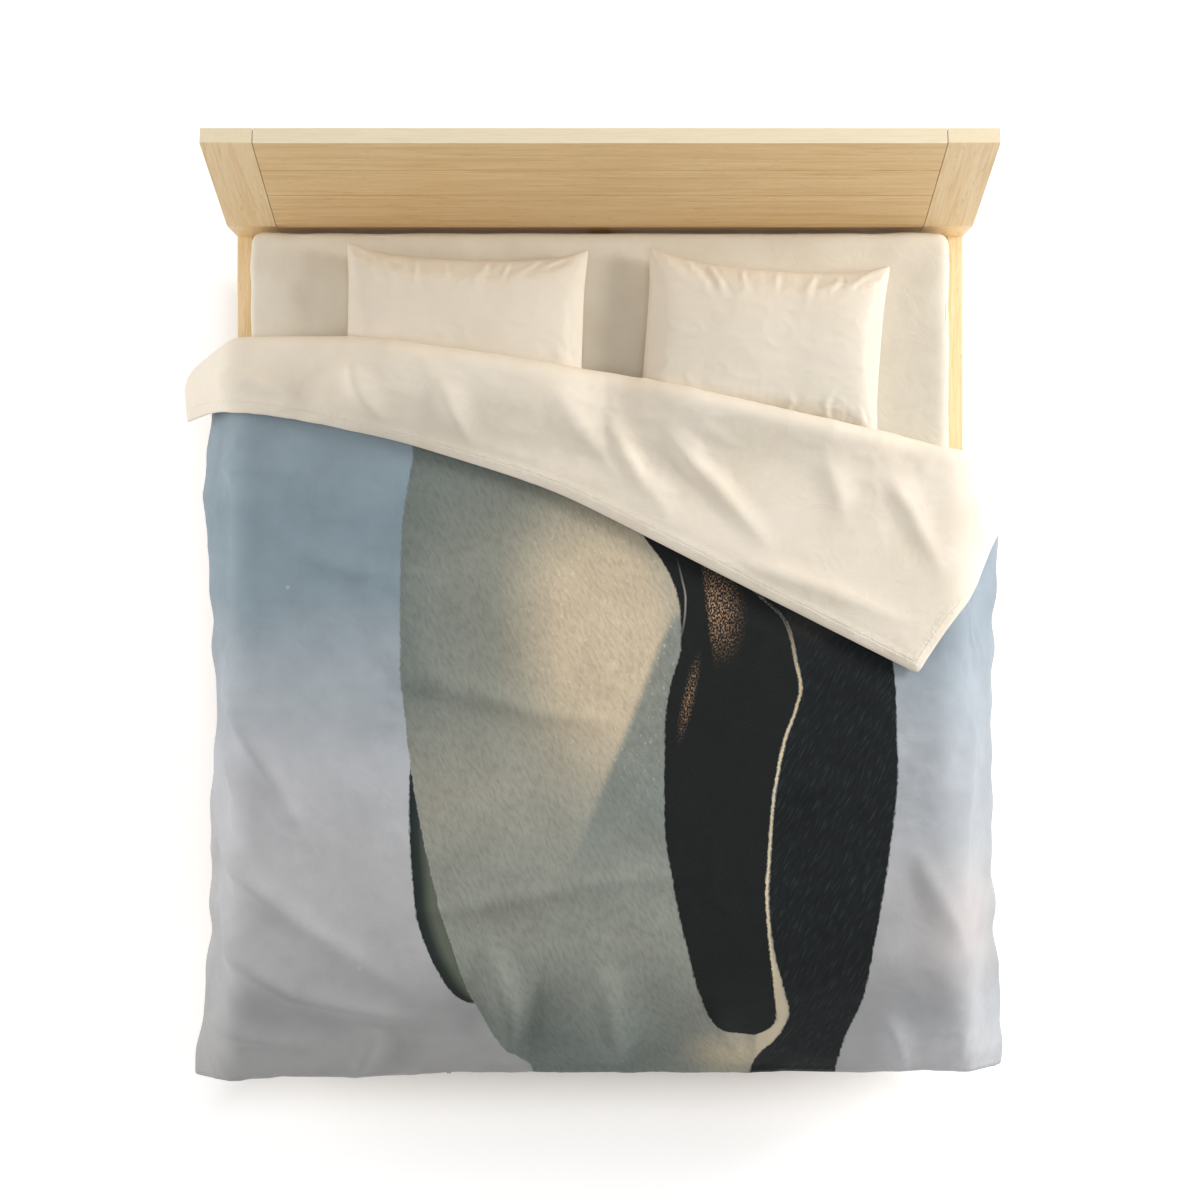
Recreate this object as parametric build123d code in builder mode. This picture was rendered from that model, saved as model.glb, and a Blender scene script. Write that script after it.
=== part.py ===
from build123d import *

import os
from math import atan2, cos, degrees, radians, sin, tan

# King-size wooden bed, made up with a mattress, a fitted sheet, two pillows and a quilt
# whose head end is turned back on a slant. Millimetres, +Z up, +Y to the headboard.
# The origin is on the floor, under the middle of the mattress.

# ---------------------------------------------------------------- driving dimensions
# mattress and its place
mattress_width = 1922
mattress_length = 2022
mattress_bottom = 356.5
mattress_top = 603.5
mattress_corner_radius = 60
mattress_edge_radius = 12
ticking = 1.5
foam_rail_width = 60
comfort_thickness = 15
base_pad_thickness = 10
pocket_columns = 12
pocket_rows = 13
pocket_wall = 8
border_tape_height = 22
border_tape_thickness = 2.5

# fitted sheet
sheet_thickness = 1.5
sheet_gap = 2.5
sheet_tuck = 150
sheet_top = mattress_top + sheet_thickness

# timber frame
frame_width = 2071
rail_thickness = 45
rail_bottom = 220
rail_top = 400
frame_half = frame_width / 2
rail_inner = frame_half - rail_thickness
head_face = 1038
foot_face = -1038
timber_radius = 3

# headboard
post_width = 135
post_thickness = 43
kink_height = 604
recline = 15.4
reclined_length = 535
board_splits = (0.383, 0.687)
board_gap = 2
board_chamfer = 2
lower_panel_thickness = 20
batten_width = 70
batten_thickness = 18
batten_x = 520

# slats, ledgers and centre support
slat_count = 12
slat_width = 95
slat_thickness = 20
slat_top = 355
slat_half = 982
ledger_size = 30
beam_width = 70
beam_height = 100
leg_size = 60
leg_bottom = 16
leg_spread = 760
corner_leg_size = 90
foot_pad_radius = 25
foot_pad_height = 12
foot_stem_radius = 5
foot_stem_length = 90
foot_bore_depth = 110
running_clearance = 0.08

# corner brackets and screws
bracket_arm = 62
bracket_low = 230
bracket_high = 300
bracket_thickness = 3
screw_radius = 2.5
screw_depth = 34
screw_head_radius = 4.6
screw_head_height = 2.2

# pillows
pillow_length = 690
pillow_depth = 490
pillow_height = 120
pillow_edge = 12
pillow_wall = 2
case_thickness = 1.2
pillow_left_at = (-372, 735, -1.8)
pillow_right_at = (450, 708, -4.4)

# quilt: stack of cover back, filled insert and cover face
rest_gap = 0.3
quilt_base = sheet_top + rest_gap
quilt_foot = 1017
cover_thickness = 1.8
insert_thickness = 35
insert_wall = 2
main_side = (967, 69)  # half width at the mattress's top, and slope of the drop
flap_side = (974, 63)
foot_slope = 33
ramp_slope = 38
ramp_reach = 60
quilt_hem = 290
quilt_foot_hem = -1335
fold_line = ((-1400, 610), (-960, 697), (-700, 697), (115, 574), (748, 436), (1154, 318))
flap_hem = ((863, -190), (310, 80), (-120, 300), (-566, 448), (-1400, 560))

# zip of the quilt cover, on the foot hem
zip_length = 900
zip_tape_height = 30
zip_tape_thickness = 1.2
zip_chain_height = 6
zip_chain_thickness = 2.4
slider_length = 14
slider_height = 9
slider_thickness = 4.5
tab_length = 26
tab_thickness = 1.6
tab_pin_radius = 1

os.makedirs("parts", exist_ok=True)


def keep(piece, label):
    """Name a finished piece and write it."""
    piece.label = label
    export_step(piece, f"parts/{label}.step")


# ---------------------------------------------------------------- headboard
# Each post is vertical up to the mattress and then leans back; both stand on the floor.
lean_y = sin(radians(recline))
lean_z = cos(radians(recline))
back_kink = kink_height - post_thickness * tan(radians(recline / 2))
recline_front = Plane(
    origin=(0, head_face, kink_height), x_dir=(1, 0, 0), z_dir=(0, -lean_z, lean_y)
)


def headboard_post(side):
    """One bent post; side is -1 for left and 1 for right."""
    top_y = head_face + reclined_length * lean_y
    top_z = kink_height + reclined_length * lean_z
    middle_x = side * (frame_half - post_width / 2)
    with BuildPart() as post:
        with BuildSketch(Plane.YZ.offset(middle_x)):
            with BuildLine():
                Polyline(
                    (head_face, 0),
                    (head_face, kink_height),
                    (top_y, top_z),
                    (top_y + post_thickness * lean_z, top_z - post_thickness * lean_y),
                    (head_face + post_thickness, back_kink),
                    (head_face + post_thickness, 0),
                    close=True,
                )
            make_face()
        extrude(amount=post_width / 2, both=True)
        chamfer(post.edges().filter_by(GeomType.LINE).group_by(Axis.Z)[-1], board_chamfer)
        pilot_z = (bracket_low + bracket_high) / 2
        seat = Plane(
            origin=(side * (rail_inner - bracket_arm / 2), head_face, pilot_z), z_dir=(0, -1, 0)
        )
        with Locations(seat):
            with GridLocations(bracket_arm / 2, bracket_arm / 2, 1, 2):
                Hole(screw_radius, screw_depth)
    return post.part


keep(headboard_post(-1), "headboard_post_left")
keep(headboard_post(1), "headboard_post_right")

# Three boards fill the leaning part between the posts, with a fine groove between them.
panel_width = frame_width - 2 * post_width - 2 * board_gap
board_edges = (
    board_gap / 2,
    *(share * reclined_length for share in board_splits),
    reclined_length + board_gap / 2,
)
batten_low = 40
batten_high = reclined_length - 40


def headboard_board(low, high):
    """One leaning board between two heights measured along the lean."""
    with BuildPart() as board:
        with BuildSketch(recline_front):
            with Locations((0, (low + high) / 2)):
                Rectangle(panel_width, high - low)
        extrude(amount=-post_thickness)
        front = board.faces().sort_by(Axis.Y)[0]
        chamfer(front.edges(), board_chamfer)
    return board.part


for name, low, high in zip(("bottom", "middle", "top"), board_edges, board_edges[1:]):
    keep(
        headboard_board(low + board_gap / 2, high - board_gap / 2),
        f"headboard_board_{name}",
    )

# Two battens behind the boards tie them together.
recline_back = recline_front.offset(-post_thickness)
for name, side in (("left", -1), ("right", 1)):
    with BuildPart() as batten:
        with BuildSketch(recline_back):
            with Locations((side * batten_x, (batten_low + batten_high) / 2)):
                Rectangle(batten_width, batten_high - batten_low)
        extrude(amount=-batten_thickness)
        chamfer(batten.faces().sort_by(Axis.Y)[-1].edges(), 4)
    keep(batten.part, f"headboard_batten_{name}")

# A thin upright panel and a stout head rail close the space between the posts, down to
# the height of the side rails. Below them the headboard is open.
with BuildPart() as lower_panel:
    with BuildSketch(Plane.XY.offset(rail_top)):
        with Locations((0, head_face + lower_panel_thickness / 2)):
            Rectangle(panel_width, lower_panel_thickness)
    extrude(amount=back_kink - rail_top - board_gap)
keep(lower_panel.part, "headboard_lower_panel")

with BuildPart() as head_rail:
    with BuildSketch(Plane.XY.offset(rail_bottom)):
        with Locations((0, head_face + post_thickness / 2)):
            Rectangle(frame_width - 2 * post_width, post_thickness)
    extrude(amount=rail_top - rail_bottom)
    chamfer(head_rail.edges().filter_by(Axis.X), timber_radius)
keep(head_rail.part, "head_rail")


# ---------------------------------------------------------------- rails and legs
bracket_z = (bracket_low + bracket_high) / 2


def side_rail(side):
    """A long rail from the headboard post to the foot rail, drilled for its brackets."""
    with BuildPart() as rail:
        with BuildSketch(Plane.XY.offset(rail_bottom)):
            with Locations((side * (rail_inner + rail_thickness / 2), 0)):
                Rectangle(rail_thickness, head_face - foot_face)
        extrude(amount=rail_top - rail_bottom)
        chamfer(rail.edges().filter_by(Axis.Y), timber_radius)
        for end in (head_face - bracket_arm / 2, foot_face + bracket_arm / 2):
            with Locations(Plane(origin=(side * rail_inner, end, bracket_z), z_dir=(-side, 0, 0))):
                with GridLocations(bracket_arm / 2, bracket_arm / 2, 2, 1):
                    Hole(screw_radius, screw_depth)
    return rail.part


keep(side_rail(-1), "side_rail_left")
keep(side_rail(1), "side_rail_right")

with BuildPart() as foot_rail:
    with BuildSketch(Plane.XY.offset(rail_bottom)):
        with Locations((0, foot_face - rail_thickness / 2)):
            Rectangle(frame_width, rail_thickness)
    extrude(amount=rail_top - rail_bottom)
    chamfer(foot_rail.edges().filter_by(Axis.X), timber_radius)
    for side in (-1, 1):
        seat = Plane(
            origin=(side * (rail_inner - bracket_arm / 2), foot_face, bracket_z), z_dir=(0, 1, 0)
        )
        with Locations(seat):
            with GridLocations(bracket_arm / 2, bracket_arm / 2, 1, 2):
                Hole(screw_radius, screw_depth)
keep(foot_rail.part, "foot_rail")

corner_leg_x = frame_half - corner_leg_size / 2
corner_leg_y = foot_face - rail_thickness + corner_leg_size / 2
for name, side in (("left", -1), ("right", 1)):
    with BuildPart() as corner_leg:
        with BuildSketch():
            with Locations((side * corner_leg_x, corner_leg_y)):
                Rectangle(corner_leg_size, corner_leg_size)
        extrude(amount=rail_bottom)
        chamfer(corner_leg.edges().filter_by(Axis.Z), timber_radius)
    keep(corner_leg.part, f"corner_leg_{name}")


# ---------------------------------------------------------------- brackets and screws
def corner_bracket(side, end):
    """A folded steel angle in one inside corner; end is 1 at the head and -1 at the foot."""
    corner_y = head_face if end > 0 else foot_face
    outer = (side * rail_inner, corner_y)
    with BuildPart() as bracket:
        with BuildSketch(Plane.XY.offset(bracket_low)):
            with BuildLine():
                Polyline(
                    outer,
                    (outer[0], corner_y - end * bracket_arm),
                    (outer[0] - side * bracket_thickness, corner_y - end * bracket_arm),
                    (outer[0] - side * bracket_thickness, corner_y - end * bracket_thickness),
                    (outer[0] - side * bracket_arm, corner_y - end * bracket_thickness),
                    (outer[0] - side * bracket_arm, corner_y),
                    close=True,
                )
            make_face()
        extrude(amount=bracket_high - bracket_low)
        rail_seat = Plane(
            origin=(outer[0] - side * bracket_thickness, corner_y - end * bracket_arm / 2, bracket_z),
            z_dir=(-side, 0, 0),
        )
        with Locations(rail_seat):
            with GridLocations(bracket_arm / 2, bracket_arm / 2, 2, 1):
                Hole(screw_radius, bracket_thickness)
        cross_seat = Plane(
            origin=(outer[0] - side * bracket_arm / 2, corner_y - end * bracket_thickness, bracket_z),
            z_dir=(0, -end, 0),
        )
        with Locations(cross_seat):
            with GridLocations(bracket_arm / 2, bracket_arm / 2, 1, 2):
                Hole(screw_radius, bracket_thickness)
    return bracket.part, rail_seat, cross_seat


with BuildPart() as bracket_screws:
    for side in (-1, 1):
        for end in (-1, 1):
            bracket, rail_seat, cross_seat = corner_bracket(side, end)
            where = ("left" if side < 0 else "right", "head" if end > 0 else "foot")
            keep(bracket, f"bracket_{where[1]}_{where[0]}")
            for seat, columns, rows in ((rail_seat, 2, 1), (cross_seat, 1, 2)):
                with Locations(seat):
                    with GridLocations(bracket_arm / 2, bracket_arm / 2, columns, rows):
                        Cylinder(
                            screw_radius - running_clearance,
                            screw_depth - 2,
                            align=(Align.CENTER, Align.CENTER, Align.MAX),
                        )
                        Cone(
                            screw_head_radius,
                            screw_head_radius / 2,
                            screw_head_height,
                            align=(Align.CENTER, Align.CENTER, Align.MIN),
                        )
keep(bracket_screws.part, "bracket_screws")


# ---------------------------------------------------------------- slats and centre support
for name, side in (("left", -1), ("right", 1)):
    with BuildPart() as ledger:
        with BuildSketch(Plane.XY.offset(slat_top - slat_thickness - ledger_size)):
            with Locations((side * (rail_inner - ledger_size / 2), 0)):
                Rectangle(ledger_size, head_face - foot_face - 20)
        extrude(amount=ledger_size)
    keep(ledger.part, f"slat_ledger_{name}")

slat_pitch = (head_face - foot_face - slat_width - 40) / (slat_count - 1)
for number in range(slat_count):
    slat_y = (number - (slat_count - 1) / 2) * slat_pitch
    with BuildPart() as slat:
        with BuildSketch(Plane.XY.offset(slat_top - slat_thickness)):
            with Locations((0, slat_y)):
                Rectangle(2 * slat_half, slat_width)
        extrude(amount=slat_thickness)
        chamfer(slat.edges().filter_by(Axis.X), 2)
    keep(slat.part, f"slat_{number + 1:02d}")

beam_bottom = slat_top - slat_thickness - beam_height
with BuildPart() as centre_beam:
    with BuildSketch(Plane.XY.offset(beam_bottom)):
        Rectangle(beam_width, head_face - foot_face)
    extrude(amount=beam_height)
    chamfer(centre_beam.edges().filter_by(Axis.Y), timber_radius)
keep(centre_beam.part, "centre_beam")

# Three legs carry the beam. Each has a levelling foot whose stem runs up a bore.
for name, place in (("foot", -1), ("middle", 0), ("head", 1)):
    leg_y = place * leg_spread
    with BuildPart() as centre_leg:
        with BuildSketch(Plane.XY.offset(leg_bottom)):
            with Locations((0, leg_y)):
                Rectangle(leg_size, leg_size)
        extrude(amount=beam_bottom - leg_bottom)
        chamfer(centre_leg.edges().filter_by(Axis.Z), timber_radius)
        with Locations(Plane(origin=(0, leg_y, leg_bottom), z_dir=(0, 0, -1))):
            Hole(foot_stem_radius + running_clearance, foot_bore_depth)
    keep(centre_leg.part, f"centre_leg_{name}")
    with BuildPart() as levelling_foot:
        with BuildSketch():
            with Locations((0, leg_y)):
                Circle(foot_pad_radius)
        extrude(amount=foot_pad_height)
        chamfer(levelling_foot.edges().group_by(Axis.Z)[-1], 2)
        with BuildSketch(Plane.XY.offset(foot_pad_height)):
            with Locations((0, leg_y)):
                Circle(foot_stem_radius)
        extrude(amount=foot_stem_length)
    keep(levelling_foot.part, f"levelling_foot_{name}")


# ---------------------------------------------------------------- mattress
def mattress_block(inset, low, high):
    """A slab of the mattress's plan, drawn in by inset on every side."""
    with BuildPart() as block:
        with BuildSketch(Plane.XY.offset(low)):
            RectangleRounded(
                mattress_width - 2 * inset,
                mattress_length - 2 * inset,
                max(mattress_corner_radius - inset, 10),
            )
        extrude(amount=high - low)
    return block.part


inner_low = mattress_bottom + ticking
inner_high = mattress_top - ticking
core_low = inner_low + base_pad_thickness
core_high = inner_high - comfort_thickness

keep(mattress_block(ticking, inner_low, core_low), "mattress_base_pad")
keep(mattress_block(ticking, core_high, inner_high), "mattress_comfort_layer")

with BuildPart() as mattress_cover:
    add(mattress_block(0, mattress_bottom, mattress_top))
    add(mattress_block(ticking, inner_low, inner_high), mode=Mode.SUBTRACT)
keep(mattress_cover.part, "mattress_cover")

# A firm foam border stands round a grid of pockets, one for each group of coils.
grid_width = mattress_width - 2 * ticking - 2 * foam_rail_width
grid_length = mattress_length - 2 * ticking - 2 * foam_rail_width
with BuildPart() as edge_foam:
    add(mattress_block(ticking, core_low, core_high))
    with BuildSketch(Plane.XY.offset(core_low)):
        Rectangle(grid_width, grid_length)
    extrude(amount=core_high - core_low, mode=Mode.SUBTRACT)
keep(edge_foam.part, "mattress_edge_foam")

pocket_pitch_x = (grid_width - pocket_wall) / pocket_columns
pocket_pitch_y = (grid_length - pocket_wall) / pocket_rows
with BuildPart() as pocket_grid:
    with BuildSketch(Plane.XY.offset(core_low)):
        Rectangle(grid_width, grid_length)
        with GridLocations(pocket_pitch_x, pocket_pitch_y, pocket_columns, pocket_rows):
            Rectangle(
                pocket_pitch_x - pocket_wall, pocket_pitch_y - pocket_wall, mode=Mode.SUBTRACT
            )
    extrude(amount=core_high - core_low)
keep(pocket_grid.part, "mattress_pocket_grid")

# Two binding tapes run round the mattress, at the top and bottom of its border.
for name, low in (
    ("lower", mattress_bottom + mattress_edge_radius),
    ("upper", mattress_top - mattress_edge_radius - border_tape_height),
):
    with BuildPart() as border_tape:
        add(mattress_block(-border_tape_thickness, low, low + border_tape_height))
        add(mattress_block(0, low, low + border_tape_height), mode=Mode.SUBTRACT)
    keep(border_tape.part, f"mattress_tape_{name}")

# The fitted sheet covers the top and sides and is gathered under the mattress.
with BuildPart() as fitted_sheet:
    add(mattress_block(-sheet_gap - sheet_thickness, slat_top, sheet_top))
    add(mattress_block(-sheet_gap, mattress_bottom, mattress_top), mode=Mode.SUBTRACT)
    add(mattress_block(sheet_tuck, slat_top, mattress_bottom), mode=Mode.SUBTRACT)
keep(fitted_sheet.part, "fitted_sheet")


# ---------------------------------------------------------------- pillows
def cushion(at, grow, lift):
    """A domed cushion with a flat underside, grown by grow on every side."""
    x, y, turn = at
    along = (cos(radians(turn)), sin(radians(turn)), 0)
    across = (-along[1], along[0], 0)
    origin = (x, y, quilt_base + lift)
    with BuildPart() as body:
        for x_dir, z_dir, span, other, mode in (
            (along, (-across[0], -across[1], 0), pillow_length, pillow_depth, Mode.ADD),
            (across, along, pillow_depth, pillow_length, Mode.INTERSECT),
        ):
            half = span / 2 + grow
            crown = pillow_height + grow - lift
            edge = pillow_edge + grow - lift
            with BuildSketch(Plane(origin=origin, x_dir=x_dir, z_dir=z_dir)):
                with BuildLine():
                    Line((-half, 0), (half, 0))
                    Line((half, 0), (half, edge))
                    ThreePointArc((half, edge), (0, crown), (-half, edge))
                    Line((-half, edge), (-half, 0))
                make_face()
            extrude(amount=other / 2 + grow, both=True, mode=mode)
    return body.part


for name, at in (("left", pillow_left_at), ("right", pillow_right_at)):
    with BuildPart() as pillow_case:
        add(cushion(at, 0, 0))
        add(cushion(at, -case_thickness, case_thickness), mode=Mode.SUBTRACT)
    keep(pillow_case.part, f"pillow_{name}_case")
    wall = case_thickness + pillow_wall
    with BuildPart() as pillow_fill:
        add(cushion(at, -case_thickness, case_thickness))
        add(cushion(at, -wall, wall), mode=Mode.SUBTRACT)
    keep(pillow_fill.part, f"pillow_{name}_fill")


# ---------------------------------------------------------------- quilt
# The quilt lies over the mattress, drops past three of its sides and climbs over the
# pillows' lower edges. Its layers are the spaces between nested trays.
def slope_run(rise, slope):
    return rise / tan(radians(slope))


def quilt_space(t, side, hem=quilt_hem):
    """The space under a surface t above the quilt's underside."""
    top_half, slope = side
    top = quilt_base + t
    with BuildPart() as space:
        for z in (hem, top):
            half = top_half + slope_run(quilt_base - z, slope) + t / sin(radians(slope))
            foot = quilt_foot + slope_run(quilt_base - z, foot_slope) + t / sin(radians(foot_slope))
            with BuildSketch(Plane.XY.offset(z)):
                with Locations((0, (head_face - foot) / 2)):
                    Rectangle(2 * half, head_face + foot)
        loft()
        for x, y, turn in (pillow_left_at, pillow_right_at):
            turned = Plane(origin=(x, y, 0), x_dir=(cos(radians(turn)), sin(radians(turn)), 0))
            crown = top + pillow_height + rest_gap
            for z in (quilt_base - cover_thickness, crown):
                out = ramp_reach - slope_run(z - quilt_base, ramp_slope)
                out += t / sin(radians(ramp_slope))
                with BuildSketch(turned.offset(z)):
                    Rectangle(pillow_length + 2 * out, pillow_depth + 2 * out)
            loft()
    return space.part


def main_outline(shift, inset=0):
    """Plan of the part of the quilt that lies face up."""
    foot = quilt_foot_hem + inset
    fold = [(x, y - shift) for x, y in fold_line]
    return [*fold, (1400, fold[-1][1]), (1400, foot), (-1400, foot)]


def flap_outline(shift, inset=0):
    """Plan of the part that is turned back."""
    fold = [(x, y - shift) for x, y in fold_line]
    hem = [(x, y + inset) for x, y in flap_hem]
    return [*fold, *hem]


def fold_outline(near, far):
    """Plan of the strip that joins the two along the fold."""
    return [
        *((x, y - near) for x, y in fold_line),
        *((x, y - far) for x, y in reversed(fold_line)),
    ]


def clipped(outer, inner, outline):
    """The part of the layer between two spaces that lies inside a plan."""
    with BuildPart() as layer:
        add(outer)
        add(inner, mode=Mode.SUBTRACT)
        with BuildSketch():
            with BuildLine():
                Polyline(*outline, close=True)
            make_face()
        extrude(amount=1500, mode=Mode.INTERSECT)
    return layer.part


insert_low = cover_thickness
insert_high = insert_low + insert_thickness
cover_middle = insert_high + cover_thickness
upper_low = cover_middle + cover_thickness
upper_high = upper_low + insert_thickness
surface = upper_high + cover_thickness

main_heights = (0, insert_low, insert_high, cover_middle)
flap_heights = (cover_middle, upper_low, upper_high, surface)
under, low_1, high_1, middle = (quilt_space(t, main_side) for t in main_heights)
beneath, low_2, high_2, over = (quilt_space(t, flap_side) for t in flap_heights)

insert_start = cover_thickness
face_start = cover_thickness + insert_thickness / 2

with BuildPart() as quilt_cover_back:
    add(clipped(low_1, under, main_outline(0)))
    add(clipped(over, high_2, flap_outline(0)))
    add(clipped(over, under, fold_outline(0, insert_start)))
keep(quilt_cover_back.part, "duvet_cover_back")

with BuildPart() as quilt_cover_face:
    add(clipped(middle, high_1, main_outline(face_start)))
    add(clipped(low_2, beneath, flap_outline(face_start)))
keep(quilt_cover_face.part, "duvet_cover_face")

# The insert is a closed quilted bag, so its own solid is a thin wall round an air space.
hollow_hem = quilt_hem + insert_wall
with BuildPart() as quilt_insert:
    add(clipped(high_1, low_1, main_outline(insert_start)))
    add(clipped(high_2, low_2, flap_outline(insert_start)))
    add(clipped(high_2, low_1, fold_outline(insert_start, face_start)))
    for low, high, side, outline in (
        (insert_low, insert_high, main_side, main_outline(face_start, insert_wall)),
        (upper_low, upper_high, flap_side, flap_outline(face_start, insert_wall)),
    ):
        space_out = quilt_space(high - insert_wall, side, hollow_hem)
        space_in = quilt_space(low + insert_wall, side, hollow_hem)
        add(clipped(space_out, space_in, outline), mode=Mode.SUBTRACT)
keep(quilt_insert.part, "duvet_insert")


# ---------------------------------------------------------------- zip
# The cover closes with a zip along the middle of its foot hem.
hem_low = quilt_base - (-quilt_foot_hem - quilt_foot) * tan(radians(foot_slope))
zip_z = hem_low + cover_middle / 2 / cos(radians(foot_slope))
tape_face = quilt_foot_hem - zip_tape_thickness
chain_face = tape_face - zip_chain_thickness
with BuildPart() as zip_tape:
    with BuildSketch(Plane.XZ.offset(-quilt_foot_hem)):
        with Locations((0, zip_z)):
            Rectangle(zip_length, zip_tape_height)
    extrude(amount=zip_tape_thickness)
    with BuildSketch(Plane.XZ.offset(-tape_face)):
        with Locations((0, zip_z)):
            Rectangle(zip_length - 20, zip_chain_height)
    extrude(amount=zip_chain_thickness)
keep(zip_tape.part, "duvet_zip_tape")

slider_x = -zip_length / 2 + 20
slider_back = chain_face - rest_gap
pin_y = slider_back - slider_thickness - tab_pin_radius - 1
with BuildPart() as zip_slider:
    with BuildSketch(Plane.XZ.offset(-slider_back)):
        with Locations((slider_x, zip_z)):
            RectangleRounded(slider_length, slider_height, 2)
    extrude(amount=slider_thickness)
    with BuildSketch(Plane.XZ.offset(-slider_back + slider_thickness)):
        with Locations((slider_x - 5, zip_z), (slider_x + 5, zip_z)):
            Rectangle(2, 4)
    extrude(amount=2 * tab_pin_radius + 2)
    with BuildSketch(Plane.YZ.offset(slider_x)):
        with Locations((pin_y, zip_z)):
            Circle(tab_pin_radius)
    extrude(amount=4, both=True)
keep(zip_slider.part, "duvet_zip_slider")

with BuildPart() as zip_tab:
    with BuildSketch(Plane.YZ.offset(slider_x)):
        with Locations((pin_y, zip_z)):
            Circle(tab_pin_radius + tab_thickness / 2)
        with Locations((pin_y, zip_z - tab_length / 2)):
            Rectangle(tab_thickness, tab_length)
        with Locations((pin_y, zip_z)):
            Circle(tab_pin_radius + running_clearance, mode=Mode.SUBTRACT)
    extrude(amount=3.5, both=True)
keep(zip_tab.part, "duvet_zip_tab")
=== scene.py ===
import math

import bmesh
import bpy
import numpy as np
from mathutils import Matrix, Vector, noise


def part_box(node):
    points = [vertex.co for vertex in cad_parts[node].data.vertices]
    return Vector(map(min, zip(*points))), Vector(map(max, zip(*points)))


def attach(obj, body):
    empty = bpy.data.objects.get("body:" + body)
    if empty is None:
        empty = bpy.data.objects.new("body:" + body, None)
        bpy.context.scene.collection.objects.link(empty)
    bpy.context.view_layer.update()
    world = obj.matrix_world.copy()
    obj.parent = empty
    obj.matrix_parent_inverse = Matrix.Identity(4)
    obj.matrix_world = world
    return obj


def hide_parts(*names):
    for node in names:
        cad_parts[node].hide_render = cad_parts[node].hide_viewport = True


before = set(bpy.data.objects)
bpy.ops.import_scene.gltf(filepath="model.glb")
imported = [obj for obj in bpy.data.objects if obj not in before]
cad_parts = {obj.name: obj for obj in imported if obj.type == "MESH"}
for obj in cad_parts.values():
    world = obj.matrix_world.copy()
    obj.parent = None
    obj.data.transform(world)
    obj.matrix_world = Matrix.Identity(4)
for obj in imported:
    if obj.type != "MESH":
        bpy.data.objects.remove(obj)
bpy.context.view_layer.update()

bpy.ops.object.select_all(action="DESELECT")

# ---------------------------------------------------------------- floor, light and camera
# A pale studio floor, glowing beyond the bed, under an even white sky, with a soft lamp on the
# right, a weaker one on the left and one overhead. The camera hangs straight above the bed.
def add(tree, kind, **settings):
    """A shader node with its settings made."""
    node = tree.nodes.new(kind)
    for key, value in settings.items():
        setattr(node, key, value)
    return node


def calc(tree, operation, *values):
    """The result of a Math node on numbers or sockets."""
    node = add(tree, "ShaderNodeMath", operation=operation)
    for socket, value in zip(node.inputs, values):
        if isinstance(value, (int, float)):
            socket.default_value = value
        else:
            tree.links.new(value, socket)
    return node.outputs["Value"]


def fade(tree, value, start, end):
    """0 at start to 1 at end, easing in and out."""
    node = add(tree, "ShaderNodeMapRange", interpolation_type="SMOOTHSTEP")
    node.inputs["From Min"].default_value = start
    node.inputs["From Max"].default_value = end
    tree.links.new(value, node.inputs["Value"])
    return node.outputs["Result"]


bpy.ops.mesh.primitive_plane_add(size=240, location=(0, 0, 0))
floor = bpy.context.object
floor.name = "floor"
floor_paint = bpy.data.materials.new("studio_floor")
floor_paint.use_nodes = True
tree = floor_paint.node_tree
shader = tree.nodes["Principled BSDF"]
shader.inputs["Base Color"].default_value = (0.92, 0.92, 0.92, 1)
shader.inputs["Roughness"].default_value = 0.9
shader.inputs["Specular IOR Level"].default_value = 0.2
shader.inputs["Emission Color"].default_value = (1, 1, 1, 1)
place = add(tree, "ShaderNodeSeparateXYZ")
tree.links.new(add(tree, "ShaderNodeTexCoord").outputs["Object"], place.inputs["Vector"])
# the glow starts under the bed's outline, so that only its own shadow darkens the floor
apart_x = calc(tree, "ABSOLUTE", calc(tree, "ADD", place.outputs["X"], 0.10))
apart_y = calc(tree, "ABSOLUTE", calc(tree, "ADD", place.outputs["Y"], 0.28))
outside = calc(tree, "MAXIMUM", fade(tree, apart_x, 0.82, 1.12), fade(tree, apart_y, 1.04, 1.30))
glow = calc(tree, "MULTIPLY", outside, 0.42)
tree.links.new(glow, shader.inputs["Emission Strength"])
floor.data.materials.append(floor_paint)

sky = bpy.data.worlds.new("studio_sky")
bpy.context.scene.world = sky
sky.use_nodes = True
sky.node_tree.nodes["Background"].inputs["Color"].default_value = (1, 1, 1, 1)
sky.node_tree.nodes["Background"].inputs["Strength"].default_value = 0.44


def soft_lamp(name, place, size, power):
    """A square lamp at a place, turned to the middle of the bed."""
    bpy.ops.object.light_add(type="AREA", location=place)
    lamp = bpy.context.object
    lamp.name = name
    lamp.data.size = size
    lamp.data.energy = power
    lamp.rotation_euler = (Vector((0, 0, 0.5)) - Vector(place)).to_track_quat("-Z", "Y").to_euler()


soft_lamp("key_lamp", (5.3, 1.6, 2.8), size=2.0, power=262)
soft_lamp("left_lamp", (-5.4, 0.8, 2.4), size=3.0, power=105)
soft_lamp("top_lamp", (0.3, 0.4, 9.5), size=5.0, power=96)

camera_height = 8.0
bpy.ops.object.camera_add(location=(0, 0, camera_height), rotation=(0, 0, 0))
camera = bpy.context.object
camera.name = "camera"
camera.data.sensor_width = 36
camera.data.lens = 79.9
bpy.context.scene.camera = camera
bpy.context.scene.view_settings.view_transform = "Standard"


# ---------------------------------------------------------------- headboard and timber frame
# Solid pale maple, planed, sanded and lacquered satin. The boards' grain runs along their
# length, so each direction of timber has its own material. The shapes are the CAD nodes.
def srgb(code):
    """A colour from its six hexadecimal digits, as the shader's linear values."""
    parts = [int(code[i:i + 2], 16) / 255 for i in (0, 2, 4)]
    return (*(c / 12.92 if c <= 0.04045 else ((c + 0.055) / 1.055) ** 2.4 for c in parts), 1)


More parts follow.
